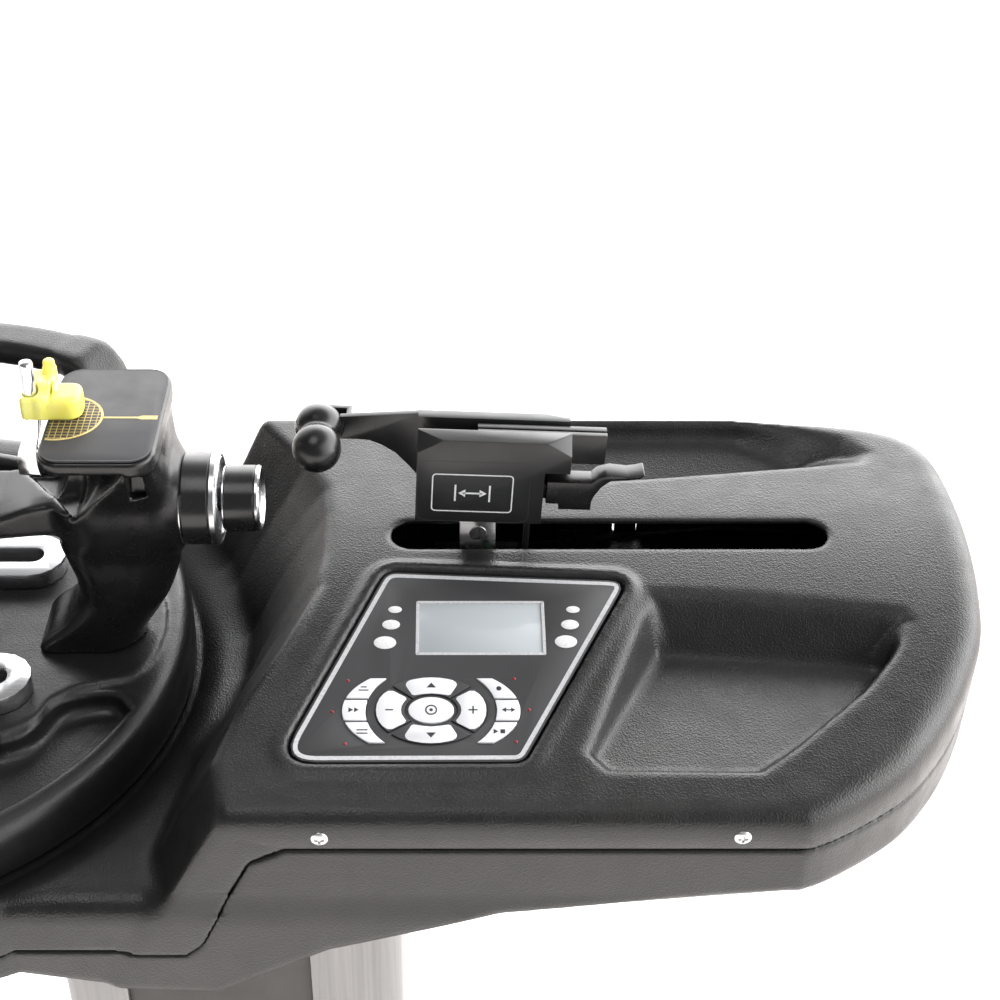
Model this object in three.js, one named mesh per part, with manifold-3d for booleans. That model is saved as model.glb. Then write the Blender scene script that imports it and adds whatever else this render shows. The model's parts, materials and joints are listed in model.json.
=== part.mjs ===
// Floor-standing electronic racket stringing machine.
// Millimetres, +Z up, +X to the tension end, the operator stands on the -Y side.
// Everything is drawn from the column's centre line; the whole group is moved at the end, so that
// its origin lies on the floor under the middle of the deck.
// Heights on the deck are measured from the deck's flat top, so most of them are negative.

import * as THREE from 'three';
import { mergeVertices } from 'three/addons/utils/BufferGeometryUtils.js';
import Module from 'manifold-3d';

const wasm = await Module();
wasm.setup();

// Fits and facets
const seatGap = 0.3;
const runGap = 0.5;
const overrun = 8;
const fineSteps = 40;
const roundSteps = 24;
const cornerSteps = 4;
const halfTurn = Math.PI;
const degree = Math.PI / 180;

// Stand
const deckTopHeight = 1000;
const footHeight = 14;
const footRadius = 24;
const footTopRadius = 19;
const footInset = 44;
const baseWidth = 600;
const baseDepth = 470;
const baseThickness = 12;
const baseCorner = 60;
const baseY = 4;
const columnWidth = 232;
const columnDepth = 150;
const columnY = -30;
const columnWall = 4;
const columnCorner = 16;
const channelWidth = 126;
const channelDepth = 9;
const channelX = -8.5;
const coverThickness = 5;

// Turntable place and radius, which the platform, its well, the rear handle and the chassis follow
const tableEdgeX = -20;
const tableRadius = 212;
const tableX = tableEdgeX - tableRadius;
const tableY = -4;

// Deck outline, seen from above
const deckFrontY = -208;
const deckRearY = 123.5;
const noseStartX = 336;
const noseEndX = 473;
const noseDepthShares = [
  [0.044, 0], [0.17, 0.022], [0.39, 0.079], [0.55, 0.136], [0.72, 0.226], [0.848, 0.32], [0.93, 0.401],
  [0.974, 0.507], [0.995, 0.613], [1, 0.718], [0.985, 0.824], [0.931, 0.896], [0.828, 0.942], [0.7, 0.965],
  [0.545, 0.98], [0.28, 0.99], [0.036, 1],
];
const platformMargin = 45;
const platformShiftX = -6;
const platformShiftY = 14;
const platformFrontAngle = 58.02 * degree;
const platformX = tableX + platformShiftX;
const platformY = tableY + platformShiftY;
const platformRadius = tableRadius + platformMargin;
const platformLevel = -108;
const shellWall = 4;

// Deck side profile: the seam between the two shells and the underside, as level over x
const seamLevel = -62;
const seamLowLevel = -147;
const seamHighX = 57;
const seamLowX = -3;
const seamDropShares = [[0, 0], [0.32, 0.118], [0.53, 0.42], [0.83, 0.894], [1, 1]];
const bottomNoseLevel = -97.5;
const bottomMidLevel = -114.5;
const bottomMidX = 176;
const bottomShoulderLevel = -145;
const bottomShoulderX = 79;
const bottomDeepLevel = -183;
const bottomDeepX = 14;
const bottomBellyLevel = -180;
const bottomBellyX = -48;
const bottomTurnLevel = -166;
const bottomTurnX = -118;
const bottomEndLevel = -162;

// Deck top surface
const slopeStartY = -35;
const slopeAngle = 12 * degree;

// Left flank of the raised deck, from the back to the front: x and y at three levels
const flankCreaseLevel = -38;
const flankLow = [
  [-43, 175], [-27, 118], [-2, 70], [15, 18], [17, -21], [10.5, -54], [-5.5, -93], [-16, -142], [-22, -172],
  [-17, -208], [-20, -232],
];
const flankCrease = [
  [-14, 175], [2.6, 118], [27.4, 70], [44.4, 18], [46.4, -21], [44, -54], [32, -93], [16, -142], [8, -172],
  [25, -208], [25, -232],
];
const flankTop = [
  [7, 175], [20.5, 118], [60, 70], [73, 18], [74.5, -21], [74, -54], [63, -93], [44, -142], [32, -172],
  [46, -208], [46, -232],
];

// Turntable
const tableTopLevel = -78;
const tableBottomLevel = -119;
const tableRimWidth = 16;
const tableEdgeRound = 7;
const wellLevel = -122;
const wellGap = 6;
const wellFlare = 13;
const wellRadius = tableRadius + wellGap;
const wellTopRadius = wellRadius + wellFlare;
const wellPortRadius = 34;
const pocketDepth = 17;
const pocketOuterRadius = 192;
const pocketHalfLength = 176;
const pocketNearY = 62;
const pocketFarY = 106;
const pocketStepX = 140;
const pocketBayX = 108;
const pocketWall = 6;
const hubRadius = 34;
const spindleRadius = 18;
const spindleDepth = 24;
const spindleFlangeRadius = 52;
const spindleFlangeThickness = 8;

// Rear handle
const handleGap = 22;
const handleWidth = 34;
const handleInnerRadius = tableRadius + handleGap;
const handleOuterRadius = handleInnerRadius + handleWidth;
const handleTopLevel = -4;
const handleThickness = 20;
const handleHalfAngle = 32 * degree;
const handleLegAngle = 7 * degree;
const handleLegLean = 9 * degree;

// Tension slot and trays
const lineY = -4;
const slotStartX = 112;
const slotEndX = 381;
const slotWidth = 25;
const frontTrayFloor = -38;
const frontTrayTop = [
  [210, -167], [229, -181], [320, -181], [343, -164], [391, -123], [417, -88], [425, -76],
  [418, -65], [324, -54], [266, -52],
];
const frontTrayBase = [
  [229, -164], [236, -174], [318, -175], [338, -160], [380, -122], [400, -97], [402, -92],
  [397, -89], [324, -82], [272, -77],
];
const rearTrayFrontFloor = -28;
const rearTrayRearFloor = -7;
const rearTrayTop = [
  [176, 44], [273, 53], [418, 71], [426, 82], [411, 101], [380, 112], [338, 117], [176, 117],
];
const rearTrayBase = [
  [190, 54], [273, 62], [372, 78], [379, 87], [363, 101], [342, 111], [328, 113], [190, 113],
];

// Control panel, in the plane of the sloped front: x and distance down the slope
const panelOutline = [[110.6, 7.2], [252, 14], [187.6, 138.8], [54.9, 139.4]];
const panelCorners = [13, 8, 6, 9];
const panelRim = 1;
const panelThickness = 3;
const panelRecess = 4;
const panelMargin = 1.5;
const lcdX = 165.8;
const lcdDown = 48;
const lcdWidth = 74.6;
const lcdHeight = 38.4;
const lcdThickness = 1.6;
const lcdRebate = 0.9;
const padX = 137.2;
const padDown = 106.3;
const keyRise = 0.9;
const keyThickness = 3;
const keyGap = 0.4;
const enterHalfWidth = 12.9;
const enterHalfHeight = 8.8;
const innerRingInnerX = 15;
const innerRingInnerY = 11;
const innerRingOuterX = 31.5;
const innerRingOuterY = 22.6;
const innerSideAngle = 46 * degree;
const innerEndAngle = 44 * degree;
const outerRingInnerX = 37;
const outerRingOuterX = 50.2;
const outerRingY = 30;
const outerKeyHeight = 22.4;
const outerKeyGap = 1.4;

// Chassis and tension drive, inside the deck
const chassisThickness = 5;
const chassisLowLevel = -157;
const chassisHighLevel = -88;
const chassisPastSpindle = 68;
const chassisLeftX = tableX - chassisPastSpindle;
const chassisBendLowX = 34;
const chassisBendHighX = 96;
const chassisRightX = 438;
const chassisFrontY = -60;
const chassisRearY = 45;
const railStartX = 108;
const railEndX = 392;
const railWidth = 15;
const railHeight = 20;
const carriageLength = 52;
const carriageWidth = 58;
const carriageTopLevel = -30;
const carriageSkirt = 9;
const stemLength = 22;
const stemWidth = 16;
const stemX = 165;
const stemRise = 37;
const pivotLevel = 29;
const pivotRadius = 4;
const pivotReach = 4;
const screwRadius = 5;
const screwY = -23;
const screwLevel = -46;
const screwStartX = 106;
const bearingThickness = 10;
const bearingReach = 10;
const motorLength = 40;
const motorWidth = 42;
const motorShaftHole = 6;
const boardWidth = 132;
const boardDepth = 62;
const boardThickness = 1.6;
const boardX = 212;
const boardY = -118;
const boardLevel = -62;
const chipHeight = 14;
const postRadius = 4;
const postInset = 9;

// Mains inlet and switch, in the rear wall
const inletX = 236;
const inletLevel = -84;
const inletWidth = 27;
const inletHeight = 20;
const inletDepth = 30;
const inletFlange = 4;
const inletFlangeThickness = 3;
const socketWall = 2.5;
const socketDepth = 18;
const switchX = 272;
const switchWidth = 15;
const switchHeight = 21;
const switchDepth = 16;
const switchRise = 3;
const switchTilt = 9 * degree;

// Tension head, measured from its pivot; it leans to the tension end
const headTilt = 2.3 * degree;
const headLeft = -37.8;
const headRight = 38;
const headOverhang = 53;
const headBottom = -8.5;
const headStep = 29;
const headTop = 50.5;
const headFront = -17;
const headBack = -4.8;
const headSplit = 6.7;
const headRear = 14.6;
const headFloor = 30;
const headFacetLength = 16;
const headFacetDepth = 11.5;
const headFacetDrop = 9.6;
const barEndLength = 15;
const barEndDepth = 3.7;
const tabLeft = 29.5;
const tabWidth = 3.5;
const tabDepth = 6;
const tabBottom = -40;
const jawStart = -2.5;
const jawEnd = 74.2;
const jawTop = 48.5;
const jawFrontThickness = 3.9;
const jawRearThickness = 4.6;
const jawMouth = 0.9;
const jawBlockStart = 54.8;
const jawBlockBottom = 28;
const armTip = -84.5;
const armTop = 50.2;
const armTipTop = 45.8;
const armFront = 11;
const armTipBottom = 30;
const armRootBottom = 6;
const armLeanShares = [
  [0, 0], [0.21, -0.01], [0.38, 0.01], [0.55, 0.15], [0.72, 0.37], [0.89, 0.73], [1, 1],
];
const ballRadius = 14.5;
const ballX = -97;
const ballLevel = 38;
const ballSpacing = 22;
const waistRadius = 11.4;
const guideAxleRadius = 3;
const earReach = 4.5;
const earThickness = 3;
const earRight = -78;
const triggerPivotX = 33;
const triggerPivotLevel = 9;
const triggerPinRadius = 2.2;
const triggerPinReach = 5;
const triggerLugWidth = 8;
const triggerLugHeight = 10;
const triggerLeft = 40.5;
const triggerRight = 68;
const triggerBottom = -2;
const triggerTop = 18;
const triggerNotchLength = 8;
const triggerNotchRise = 4;
const triggerFront = -10;
const triggerRear = 3;
const bladeTip = 98.5;
const bladeTopShares = [[0, 0.74], [0.1, 0.86], [0.33, 0.95], [0.66, 0.91], [0.84, 0.95], [0.97, 1]];
const bladeUnderShares = [[1, 0.98], [0.92, 0.88], [0.68, 0.82], [0.36, 0.8], [0.17, 0.6], [0.04, 0.32]];
const bladeTop = 25.5;

// Bridge, towers and their knobs, measured from the turntable's centre
const bridgeWidth = 40;
const bridgeBottom = 16;
const bridgeTop = 26;
const bridgeReach = 157;
const pedestalLength = 70;
const pedestalWidth = 30;
const towerInner = 145;
const towerOuter = 210;
const towerTopLevel = 86.6;
const plateThickness = 1.2;
const plateHalfDepth = 49;
const plateCorner = 13;
const plateRim = 1.5;
const towerTopDrop = 9;
const footInner = 119;
const footOuter = 185;
const heelOuter = 195;
const footHalfDepth = 26;
const neckInner = 148;
const neckOuter = 207;
const neckHalfDepth = 27;
const neckLevel = -34;
const heelLevel = -60;
const waistInner = 142;
const shoulderOuter = 216;
const shoulderLevel = 34;
const shoulderHalfDepth = 32;
const shoulderRound = 20;
const towerCorner = 11;
const sleeveInner = 92;
const sleeveBottom = 13.5;
const sleeveTop = 29;
const sleeveHighTop = 38.5;
const sleeveHalfDepth = 27;
const sleeveEndHalfDepth = 22;
const sleeveRiseStart = 108;
const sleeveRiseEnd = 150;
const scoopFloor = 30;
const scoopFrontX = 177;
const scoopRearX = 122;
const scoopRearY = 16;
const scoopCoreX = 152;
const scoopCoreY = -12;
const scoopEndX = 192.5;
const scoopRiseShares = [[0, 0], [0.25, 0], [0.49, 0.1], [0.62, 0.27], [0.78, 0.51], [0.95, 0.8], [1, 1]];
const notchEndX = 203;
const notchY = -30;
const notchBottom = 53;
const bossRadius = 25;
const bossFace = 217.4;
const knobLevel = 26;
const stubRadius = 8;
const stubLength = 25.2;
const collarRadius = 28.2;
const collarLength = 19.3;
const collarRingRadius = 28.8;
const collarRingLength = 8.6;
const fineKnobRadius = 20.3;
const fineKnobLength = 22.8;
const fineStemRadius = 4;
const fineStemLength = 14;
const towerTravelIn = 40;

// Chrome hook and yellow racket support on each tower
const hookX = 135.5;
const hookY = 0;
const hookHalfDepth = 4;
const hookBottom = 45;
const hookHeelLeft = 121.5;
const hookHeelRight = 134.9;
const hookHeadLeft = 131.3;
const hookHeadRight = 140.7;
const hookLeftShares = [[0, 0], [0.24, 0], [0.52, 0.3], [0.69, 0.67], [0.87, 1], [1, 1]];
const hookRightShares = [[1, 1], [0.65, 0.48], [0.42, 0.08], [0.16, 0], [0, 0.2]];
const hookPinRadius = 4.2;
const hookPinTop = 124;
const supportInner = 129.5;
const supportOuter = 165;
const supportFront = -8.4;
const supportBlockEnd = 144;
const supportBlockRear = 6;
const supportLobeRear = 13;
const supportTop = 102.6;
const supportFloorGap = 0.4;
const supportBackLeft = 134;
const supportBackRight = 149;
const supportBackTop = 108;
const supportBackRear = 19;
const supportNubRadius = 3.6;
const supportNubX = 145;
const supportNubTop = 116.3;
const supportRound = 3;
const supportLobeRound = 7.8;

// Clamp guides and string clamps
const guideHalfLength = 123;
const guideWidth = 44;
const guideThickness = 12;
const guideSlot = 15;
const guideY = 60;
const clampBaseRadius = 19;
const clampBaseHeight = 20;
const clampTenonLength = 26;
const clampX = -38;
const clampPostRadius = 11;
const clampPostWall = 3;
const clampPostTop = 62;
const clampStemRadius = 7.6;
const clampStemDrop = 60;
const clampHeadLength = 62;
const clampHeadWidth = 15;
const clampHeadBottom = 66;
const clampHeadTop = 84;
const clampToothTop = 103;
const clampToothLength = 22;
const clampToothWidth = 5;
const clampJawGap = 1.4;
const clampLeverLength = 44;
const clampLeverThickness = 9;
const clampLeverWidth = 10;
const clampLeverPin = 3;

// Shape tools

// A closed three.js geometry as a solid that can be cut and joined
function solid(geometry) {
  const bare = geometry.clone();
  bare.deleteAttribute('normal');
  bare.deleteAttribute('uv');
  const merged = mergeVertices(bare);
  const place = merged.attributes.position;
  const corners = Uint32Array.from(merged.index.array);
  const a = new THREE.Vector3();
  const b = new THREE.Vector3();
  const c = new THREE.Vector3();
  let volume = 0;
  for (let i = 0; i < corners.length; i += 3) {
    a.fromBufferAttribute(place, corners[i]);
    b.fromBufferAttribute(place, corners[i + 1]);
    c.fromBufferAttribute(place, corners[i + 2]);
    volume += a.dot(b.cross(c));
  }
  if (volume < 0) {
    for (let i = 0; i < corners.length; i += 3) {
      const first = corners[i];
      corners[i] = corners[i + 1];
      corners[i + 1] = first;
    }
  }
  const values = Float32Array.from(place.array);
  return new wasm.Manifold(new wasm.Mesh({ numProp: 3, vertProperties: values, triVerts: corners }));
}

function geometryOf(body) {
  const mesh = body.getMesh();
  const geometry = new THREE.BufferGeometry();
  geometry.setAttribute('position', new THREE.BufferAttribute(Float32Array.from(mesh.vertProperties), 3));
  geometry.setIndex(new THREE.BufferAttribute(Uint32Array.from(mesh.triVerts), 1));
  geometry.computeVertexNormals();
  return geometry;
}

function join(first, ...others) {
  return others.reduce((whole, other) => whole.add(other), first);
}

function cut(first, ...others) {
  return others.reduce((whole, other) => whole.subtract(other), first);
}

function box(x0, x1, y0, y1, z0, z1) {
  const block = new THREE.BoxGeometry(x1 - x0, y1 - y0, z1 - z0);
  block.translate((x0 + x1) / 2, (y0 + y1) / 2, (z0 + z1) / 2);
  return solid(block);
}

function rod(axis, radius, start, end, u, v, steps = roundSteps, endRadius = radius) {
  const bar = new THREE.CylinderGeometry(endRadius, radius, end - start, steps);
  const middle = (start + end) / 2;
  if (axis === 'x') bar.rotateZ(-halfTurn / 2).translate(middle, u, v);
  if (axis === 'y') bar.translate(u, middle, v);
  if (axis === 'z') bar.rotateX(halfTurn / 2).translate(u, v, middle);
  return solid(bar);
}

// An outline of [x, y] pairs raised from one level to another
function prism(points, z0, z1) {
  const shape = new THREE.Shape(points.map(([x, y]) => new THREE.Vector2(x, y)));
  const block = new THREE.ExtrudeGeometry(shape, { depth: z1 - z0, bevelEnabled: false });
  block.translate(0, 0, z0);
  return solid(block);
}

// An outline of [x, z] pairs carried from one y to another
function sideways(points, y0, y1) {
  const shape = new THREE.Shape(points.map(([x, z]) => new THREE.Vector2(x, z)));
  const block = new THREE.ExtrudeGeometry(shape, { depth: y1 - y0, bevelEnabled: false });
  block.rotateX(halfTurn / 2).translate(0, y1, 0);
  return solid(block);
}

// An outline of [y, z] pairs carried from one x to another
function lengthwise(points, x0, x1) {
  const shape = new THREE.Shape(points.map(([y, z]) => new THREE.Vector2(y, z)));
  const block = new THREE.ExtrudeGeometry(shape, { depth: x1 - x0, bevelEnabled: false });
  block.rotateX(halfTurn / 2).rotateZ(halfTurn / 2).translate(x0, 0, 0);
  return solid(block);
}

// A profile of [radius, level] pairs turned about Z, or about another axis through the origin
function turned(profile, steps = fineSteps) {
  const points = profile.map(([r, z]) => new THREE.Vector2(r, z));
  return solid(new THREE.LatheGeometry(points, steps).rotateX(halfTurn / 2));
}

// Rings of as many [x, y, z] points each, joined from the first to the last
function loft(rings) {
  const count = rings[0].length;
  const place = rings.flat(2);
  const faces = [];
  for (let ring = 0; ring + 1 < rings.length; ring += 1) {
    for (let i = 0; i < count; i += 1) {
      const next = (i + 1) % count;
      const a = ring * count + i;
      const b = ring * count + next;
      faces.push(a, b, b + count, a, b + count, a + count);
    }
  }
  const lid = (ring) => THREE.ShapeUtils.triangulateShape(ring.map(([x, y]) => new THREE.Vector2(x, y)), []);
  const last = (rings.length - 1) * count;
  for (const [a, b, c] of lid(rings[0])) faces.push(a, c, b);
  for (const [a, b, c] of lid(rings[rings.length - 1])) faces.push(last + a, last + b, last + c);
  const geometry = new THREE.BufferGeometry();
  geometry.setAttribute('position', new THREE.BufferAttribute(Float32Array.from(place), 3));
  geometry.setIndex(faces);
  return solid(geometry);
}

function atLevel(points, z) {
  return points.map(([x, y]) => [x, y, z]);
}

function arc(cx, cy, radius, from, to, steps) {
  const points = [];
  for (let i = 0; i <= steps; i += 1) {
    const angle = from + ((to - from) * i) / steps;
    points.push([cx + radius * Math.cos(angle), cy + radius * Math.sin(angle)]);
  }
  return points;
}

function roundRect(x0, x1, y0, y1, radius, steps = cornerSteps) {
  const quarter = halfTurn / 2;
  return [
    ...arc(x1 - radius, y1 - radius, radius, 0, quarter, steps),
    ...arc(x0 + radius, y1 - radius, radius, quarter, 2 * quarter, steps),
    ...arc(x0 + radius, y0 + radius, radius, 2 * quarter, 3 * quarter, steps),
    ...arc(x1 - radius, y0 + radius, radius, 3 * quarter, 4 * quarter, steps),
  ];
}

function stadium(x0, x1, y, width, steps = 8) {
  const radius = width / 2;
  return [
    ...arc(x1 - radius, y, radius, -halfTurn / 2, halfTurn / 2, steps),
    ...arc(x0 + radius, y, radius, halfTurn / 2, (3 * halfTurn) / 2, steps),
  ];
}

// Moves each side of a counter-clockwise outline outward by a distance
function grow(points, distance) {
  const count = points.length;
  return points.map(([x, y], i) => {
    const [px, py] = points[(i + count - 1) % count];
    const [nx, ny] = points[(i + 1) % count];
    const before = new THREE.Vector2(y - py, px - x).normalize();
    const after = new THREE.Vector2(ny - y, x - nx).normalize();
    const middle = before.clone().add(after).normalize();
    const reach = distance / Math.max(middle.dot(before), Math.SQRT1_2);
    return [x + middle.x * reach, y + middle.y * reach];
  });
}

// Rounds every corner of an outline, each by its own radius
function rounded(points, radii, steps = cornerSteps) {
  const count = points.length;
  return points.flatMap(([x, y], i) => {
    const corner = new THREE.Vector2(x, y);
    const back = new THREE.Vector2(...points[(i + count - 1) % count]).sub(corner).normalize();
    const ahead = new THREE.Vector2(...points[(i + 1) % count]).sub(corner).normalize();
    const half = Math.acos(back.dot(ahead)) / 2;
    const reach = radii[i] / Math.tan(half);
    const start = corner.clone().addScaledVector(back, reach);
    const end = corner.clone().addScaledVector(ahead, reach);
    return Array.from({ length: steps + 1 }, (_, k) => {
      const t = k / steps;
      const keep = start.clone().multiplyScalar((1 - t) ** 2);
      keep.addScaledVector(corner, 2 * t * (1 - t)).addScaledVector(end, t * t);
      return [keep.x, keep.y];
    });
  });
}

// Finishes
const shellBlack = { color: 0x1d1d1f, roughness: 0.62, metalness: 0 };
const castBlack = { color: 0x141415, roughness: 0.38, metalness: 0.1 };
const anodised = { color: 0x1a1a1c, roughness: 0.42, metalness: 0.5 };
const plateBlack = { color: 0x3a393b, roughness: 0.5, metalness: 0.1 };
const panelGrey = { color: 0x3b3b3d, roughness: 0.55, metalness: 0 };
const keyGrey = { color: 0xc9c9ca, roughness: 0.5, metalness: 0 };
const glassGrey = { color: 0xaeb4b7, roughness: 0.15, metalness: 0 };
const brushed = { color: 0xbfc0c2, roughness: 0.3, metalness: 0.95 };
const chromed = { color: 0xd6d7d8, roughness: 0.12, metalness: 1 };
const alloy = { color: 0xb8b9b8, roughness: 0.42, metalness: 0.7 };
const yellowPlastic = { color: 0xf4dc3c, roughness: 0.32, metalness: 0 };
const rubberBlack = { color: 0x161616, roughness: 0.85, metalness: 0 };
const steelGrey = { color: 0x77797b, roughness: 0.4, metalness: 0.9 };
const boardGreen = { color: 0x1c5a34, roughness: 0.5, metalness: 0.1 };
const standBlack = { color: 0x202022, roughness: 0.5, metalness: 0.3 };
const coverGrey = { color: 0x3c3936, roughness: 0.55, metalness: 0.1 };

function piece(parent, name, body, finish) {
  const mesh = new THREE.Mesh(geometryOf(body), new THREE.MeshStandardMaterial(finish));
  mesh.name = name;
  parent.add(mesh);
  return mesh;
}

const machine = new THREE.Group();
const deck = new THREE.Group();
deck.position.z = deckTopHeight;
machine.add(deck);

// Stand: four feet, the base plate, the column and its front cover
const baseX0 = -baseWidth / 2;
const baseY0 = baseY - baseDepth / 2;
const baseBottom = footHeight + seatGap;
const baseTop = baseBottom + baseThickness;

function foot(x, y) {
  return rod('z', footTopRadius, 0, footHeight, x, y, roundSteps, footRadius);
}

const footNames = {
  front_left_foot: [-1, -1],
  front_right_foot: [1, -1],
  rear_left_foot: [-1, 1],
  rear_right_foot: [1, 1],
};
for (const [name, [sideX, sideY]] of Object.entries(footNames)) {
  const x = sideX * (baseWidth / 2 - footInset);
  const y = baseY + sideY * (baseDepth / 2 - footInset);
  piece(machine, name, foot(x, y), rubberBlack);
}

const baseOutline = roundRect(baseX0, -baseX0, baseY0, baseY0 + baseDepth, baseCorner, 2 * cornerSteps);
const basePlate = prism(baseOutline, baseBottom, baseTop);
piece(machine, 'base_plate', basePlate, standBlack);

const columnBottom = baseTop + seatGap;
const columnTop = deckTopHeight + chassisHighLevel;
const columnFront = columnY - columnDepth / 2;
const columnRear = columnY + columnDepth / 2;
const channelLeft = channelX - channelWidth / 2;
const channelRight = channelX + channelWidth / 2;

// The space from the chassis upward, which the top of the column follows
function aboveChassis() {
  const line = [
    [noseEndX, chassisHighLevel], [chassisBendHighX, chassisHighLevel], [chassisBendLowX, chassisLowLevel],
    [-noseEndX, chassisLowLevel], [-noseEndX, 0], [noseEndX, 0],
  ];
  return sideways(line, -baseDepth, baseDepth).translate([0, 0, deckTopHeight - seatGap]);
}

function buildColumn() {
  const half = columnWidth / 2;
  const outline = roundRect(-half, half, columnFront, columnRear, columnCorner);
  const outer = prism(outline, columnBottom, columnTop);
  const inside = roundRect(
    -half + columnWall, half - columnWall, columnFront + channelDepth + columnWall, columnRear - columnWall,
    columnCorner - columnWall,
  );
  const bore = prism(inside, columnBottom - overrun, columnTop + overrun);
  const channel = box(
    channelLeft, channelRight, columnFront - overrun, columnFront + channelDepth,
    columnBottom - overrun, columnTop + overrun,
  );
  return cut(outer, bore, channel, aboveChassis());
}

piece(machine, 'column', buildColumn(), alloy);

const coverRear = columnFront + channelDepth - seatGap;
const frontCover = box(
  channelLeft + seatGap, channelRight - seatGap, coverRear - coverThickness, coverRear,
  columnBottom, columnTop,
);
piece(machine, 'column_front_cover', cut(frontCover, aboveChassis()), coverGrey);

// Deck outline, counter-clockwise, with the platform's round end on the left
const noseLength = noseEndX - noseStartX;
const deckDepth = deckRearY - deckFrontY;

function deckOutline(inset) {
  const nose = noseDepthShares.map(([along, across]) => [
    noseStartX + noseLength * along, deckFrontY + deckDepth * across,
  ]);
  const rearMeet = Math.asin((deckRearY - platformY) / platformRadius);
  const frontMeet = 2 * halfTurn - platformFrontAngle;
  const end = arc(platformX, platformY, platformRadius, rearMeet, frontMeet, fineSteps);
  return grow([...nose, ...end], -inset);
}

const farLeft = platformX - platformRadius - overrun;
const farRight = noseEndX + overrun;
const farFront = platformY - platformRadius - overrun;
const farRear = platformY + platformRadius + overrun;

// The seam and the underside as [x, level] lines from right to left
function seamLine(lift) {
  const run = seamHighX - seamLowX;
  const drop = seamLowLevel - seamLevel;
  const curve = seamDropShares.map(([along, down]) => [
    seamHighX - run * along, seamLevel + drop * down + lift,
  ]);
  return [[farRight, seamLevel + lift], ...curve, [farLeft, seamLowLevel + lift]];
}

function undersideLine(lift) {
  return [
    [farRight, bottomNoseLevel + lift], [noseStartX, bottomNoseLevel + lift],
    [bottomMidX, bottomMidLevel + lift], [bottomShoulderX, bottomShoulderLevel + lift],
    [bottomDeepX, bottomDeepLevel + lift], [bottomBellyX, bottomBellyLevel + lift],
    [bottomTurnX, bottomTurnLevel + lift], [farLeft, bottomEndLevel + lift],
  ];
}

// All that lies above a line, up to a level
function aboveLine(line, top) {
  const outline = [...line, [farLeft, top], [farRight, top]];
  return sideways(outline, farFront, farRear);
}

// The front slope: everything above a plane that falls to the operator
function slopeCutter(sink) {
  const length = (slopeStartY - farFront) / Math.cos(slopeAngle) + overrun;
  const width = farRight - farLeft;
  const wedge = new THREE.BoxGeometry(width, length, length);
  wedge.translate((farLeft + farRight) / 2, -length / 2, length / 2);
  wedge.rotateX(slopeAngle).translate(0, slopeStartY, -sink);
  return solid(wedge);
}

// The space left of the raised deck, above the platform
function flankCutter(shift) {
  const top = overrun;
  const risePerLevel = (top - flankCreaseLevel) / -flankCreaseLevel;
  const ring = (points, level) => {
    const wall = points.map(([x, y]) => [x + shift, y]);
    wall[0][1] = farRear;
    wall[wall.length - 1][1] = farFront;
    return atLevel([...wall, [farLeft, farFront], [farLeft, farRear]].reverse(), level);
  };
  const overTop = flankTop.map(([x, y], i) => {
    const creaseX = flankCrease[i][0];
    return [creaseX + (x - creaseX) * risePerLevel, y];
  });
  const floor = platformLevel - shift;
  return loft([ring(flankLow, floor), ring(flankCrease, flankCreaseLevel), ring(overTop, top)]);
}

function wellCutter(spread) {
  return turned([
    [0, wellLevel - spread], [wellRadius + spread, wellLevel - spread],
    [wellTopRadius + spread, platformLevel], [wellTopRadius + spread, platformLevel + overrun],
    [0, platformLevel + overrun],
  ]).translate([tableX, tableY, 0]);
}

function trayCutter(topPoints, basePoints, levels, spread) {
  const base = grow(basePoints, spread).map(([x, y], i) => [x, y, levels[i] - spread]);
  const top = grow(topPoints, spread).map(([x, y]) => [x, y, 0]);
  const over = top.map(([x, y]) => [x, y, overrun]);
  return loft([base, top, over]);
}

function frontTray(spread) {
  return trayCutter(frontTrayTop, frontTrayBase, frontTrayBase.map(() => frontTrayFloor), spread);
}

function rearTray(spread) {
  const rearStart = 4;
  const levels = rearTrayBase.map((_, i) => (i < rearStart ? rearTrayFrontFloor : rearTrayRearFloor));
  return trayCutter(rearTrayTop, rearTrayBase, levels, spread);
}

// The panel's own plane: x stays, the second value runs down the slope, the third stands off it
const slopeGroup = new THREE.Group();
slopeGroup.position.y = slopeStartY;
slopeGroup.rotation.x = slopeAngle;
deck.add(slopeGroup);

function onSlope(body) {
  return body.rotate([slopeAngle / degree, 0, 0]).translate([0, slopeStartY, 0]);
}

function downSlope(points) {
  return points.map(([x, down]) => [x, -down]).reverse();
}

const panelShape = grow(rounded(downSlope(panelOutline), panelCorners), panelRim);

function deckBody(inset) {
  const raised = prism(deckOutline(inset), bottomDeepLevel, -inset);
  return cut(
    raised, slopeCutter(inset / Math.cos(slopeAngle)), flankCutter(inset), wellCutter(inset),
    frontTray(inset), rearTray(inset),
  );
}

function buildTopShell() {
  const outer = deckBody(0).intersect(aboveLine(seamLine(0), overrun));
  const inner = deckBody(shellWall);
  const slot = prism(stadium(slotStartX, slotEndX, lineY, slotWidth), -shellWall - overrun, overrun);
  const recess = onSlope(prism(grow(panelShape, panelMargin), -panelRecess, overrun));
  const trayOutline = grow(panelShape, panelMargin + shellWall);
  const backing = onSlope(prism(trayOutline, -panelRecess - shellWall, -shellWall / 2));
  const portBottom = wellLevel - shellWall - overrun;
  const port = rod('z', wellPortRadius, portBottom, wellLevel + overrun, tableX, tableY);
  return cut(join(cut(outer, inner), backing.intersect(outer)), slot, recess, port);
}

piece(deck, 'deck_top_shell', buildTopShell(), shellBlack);

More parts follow.
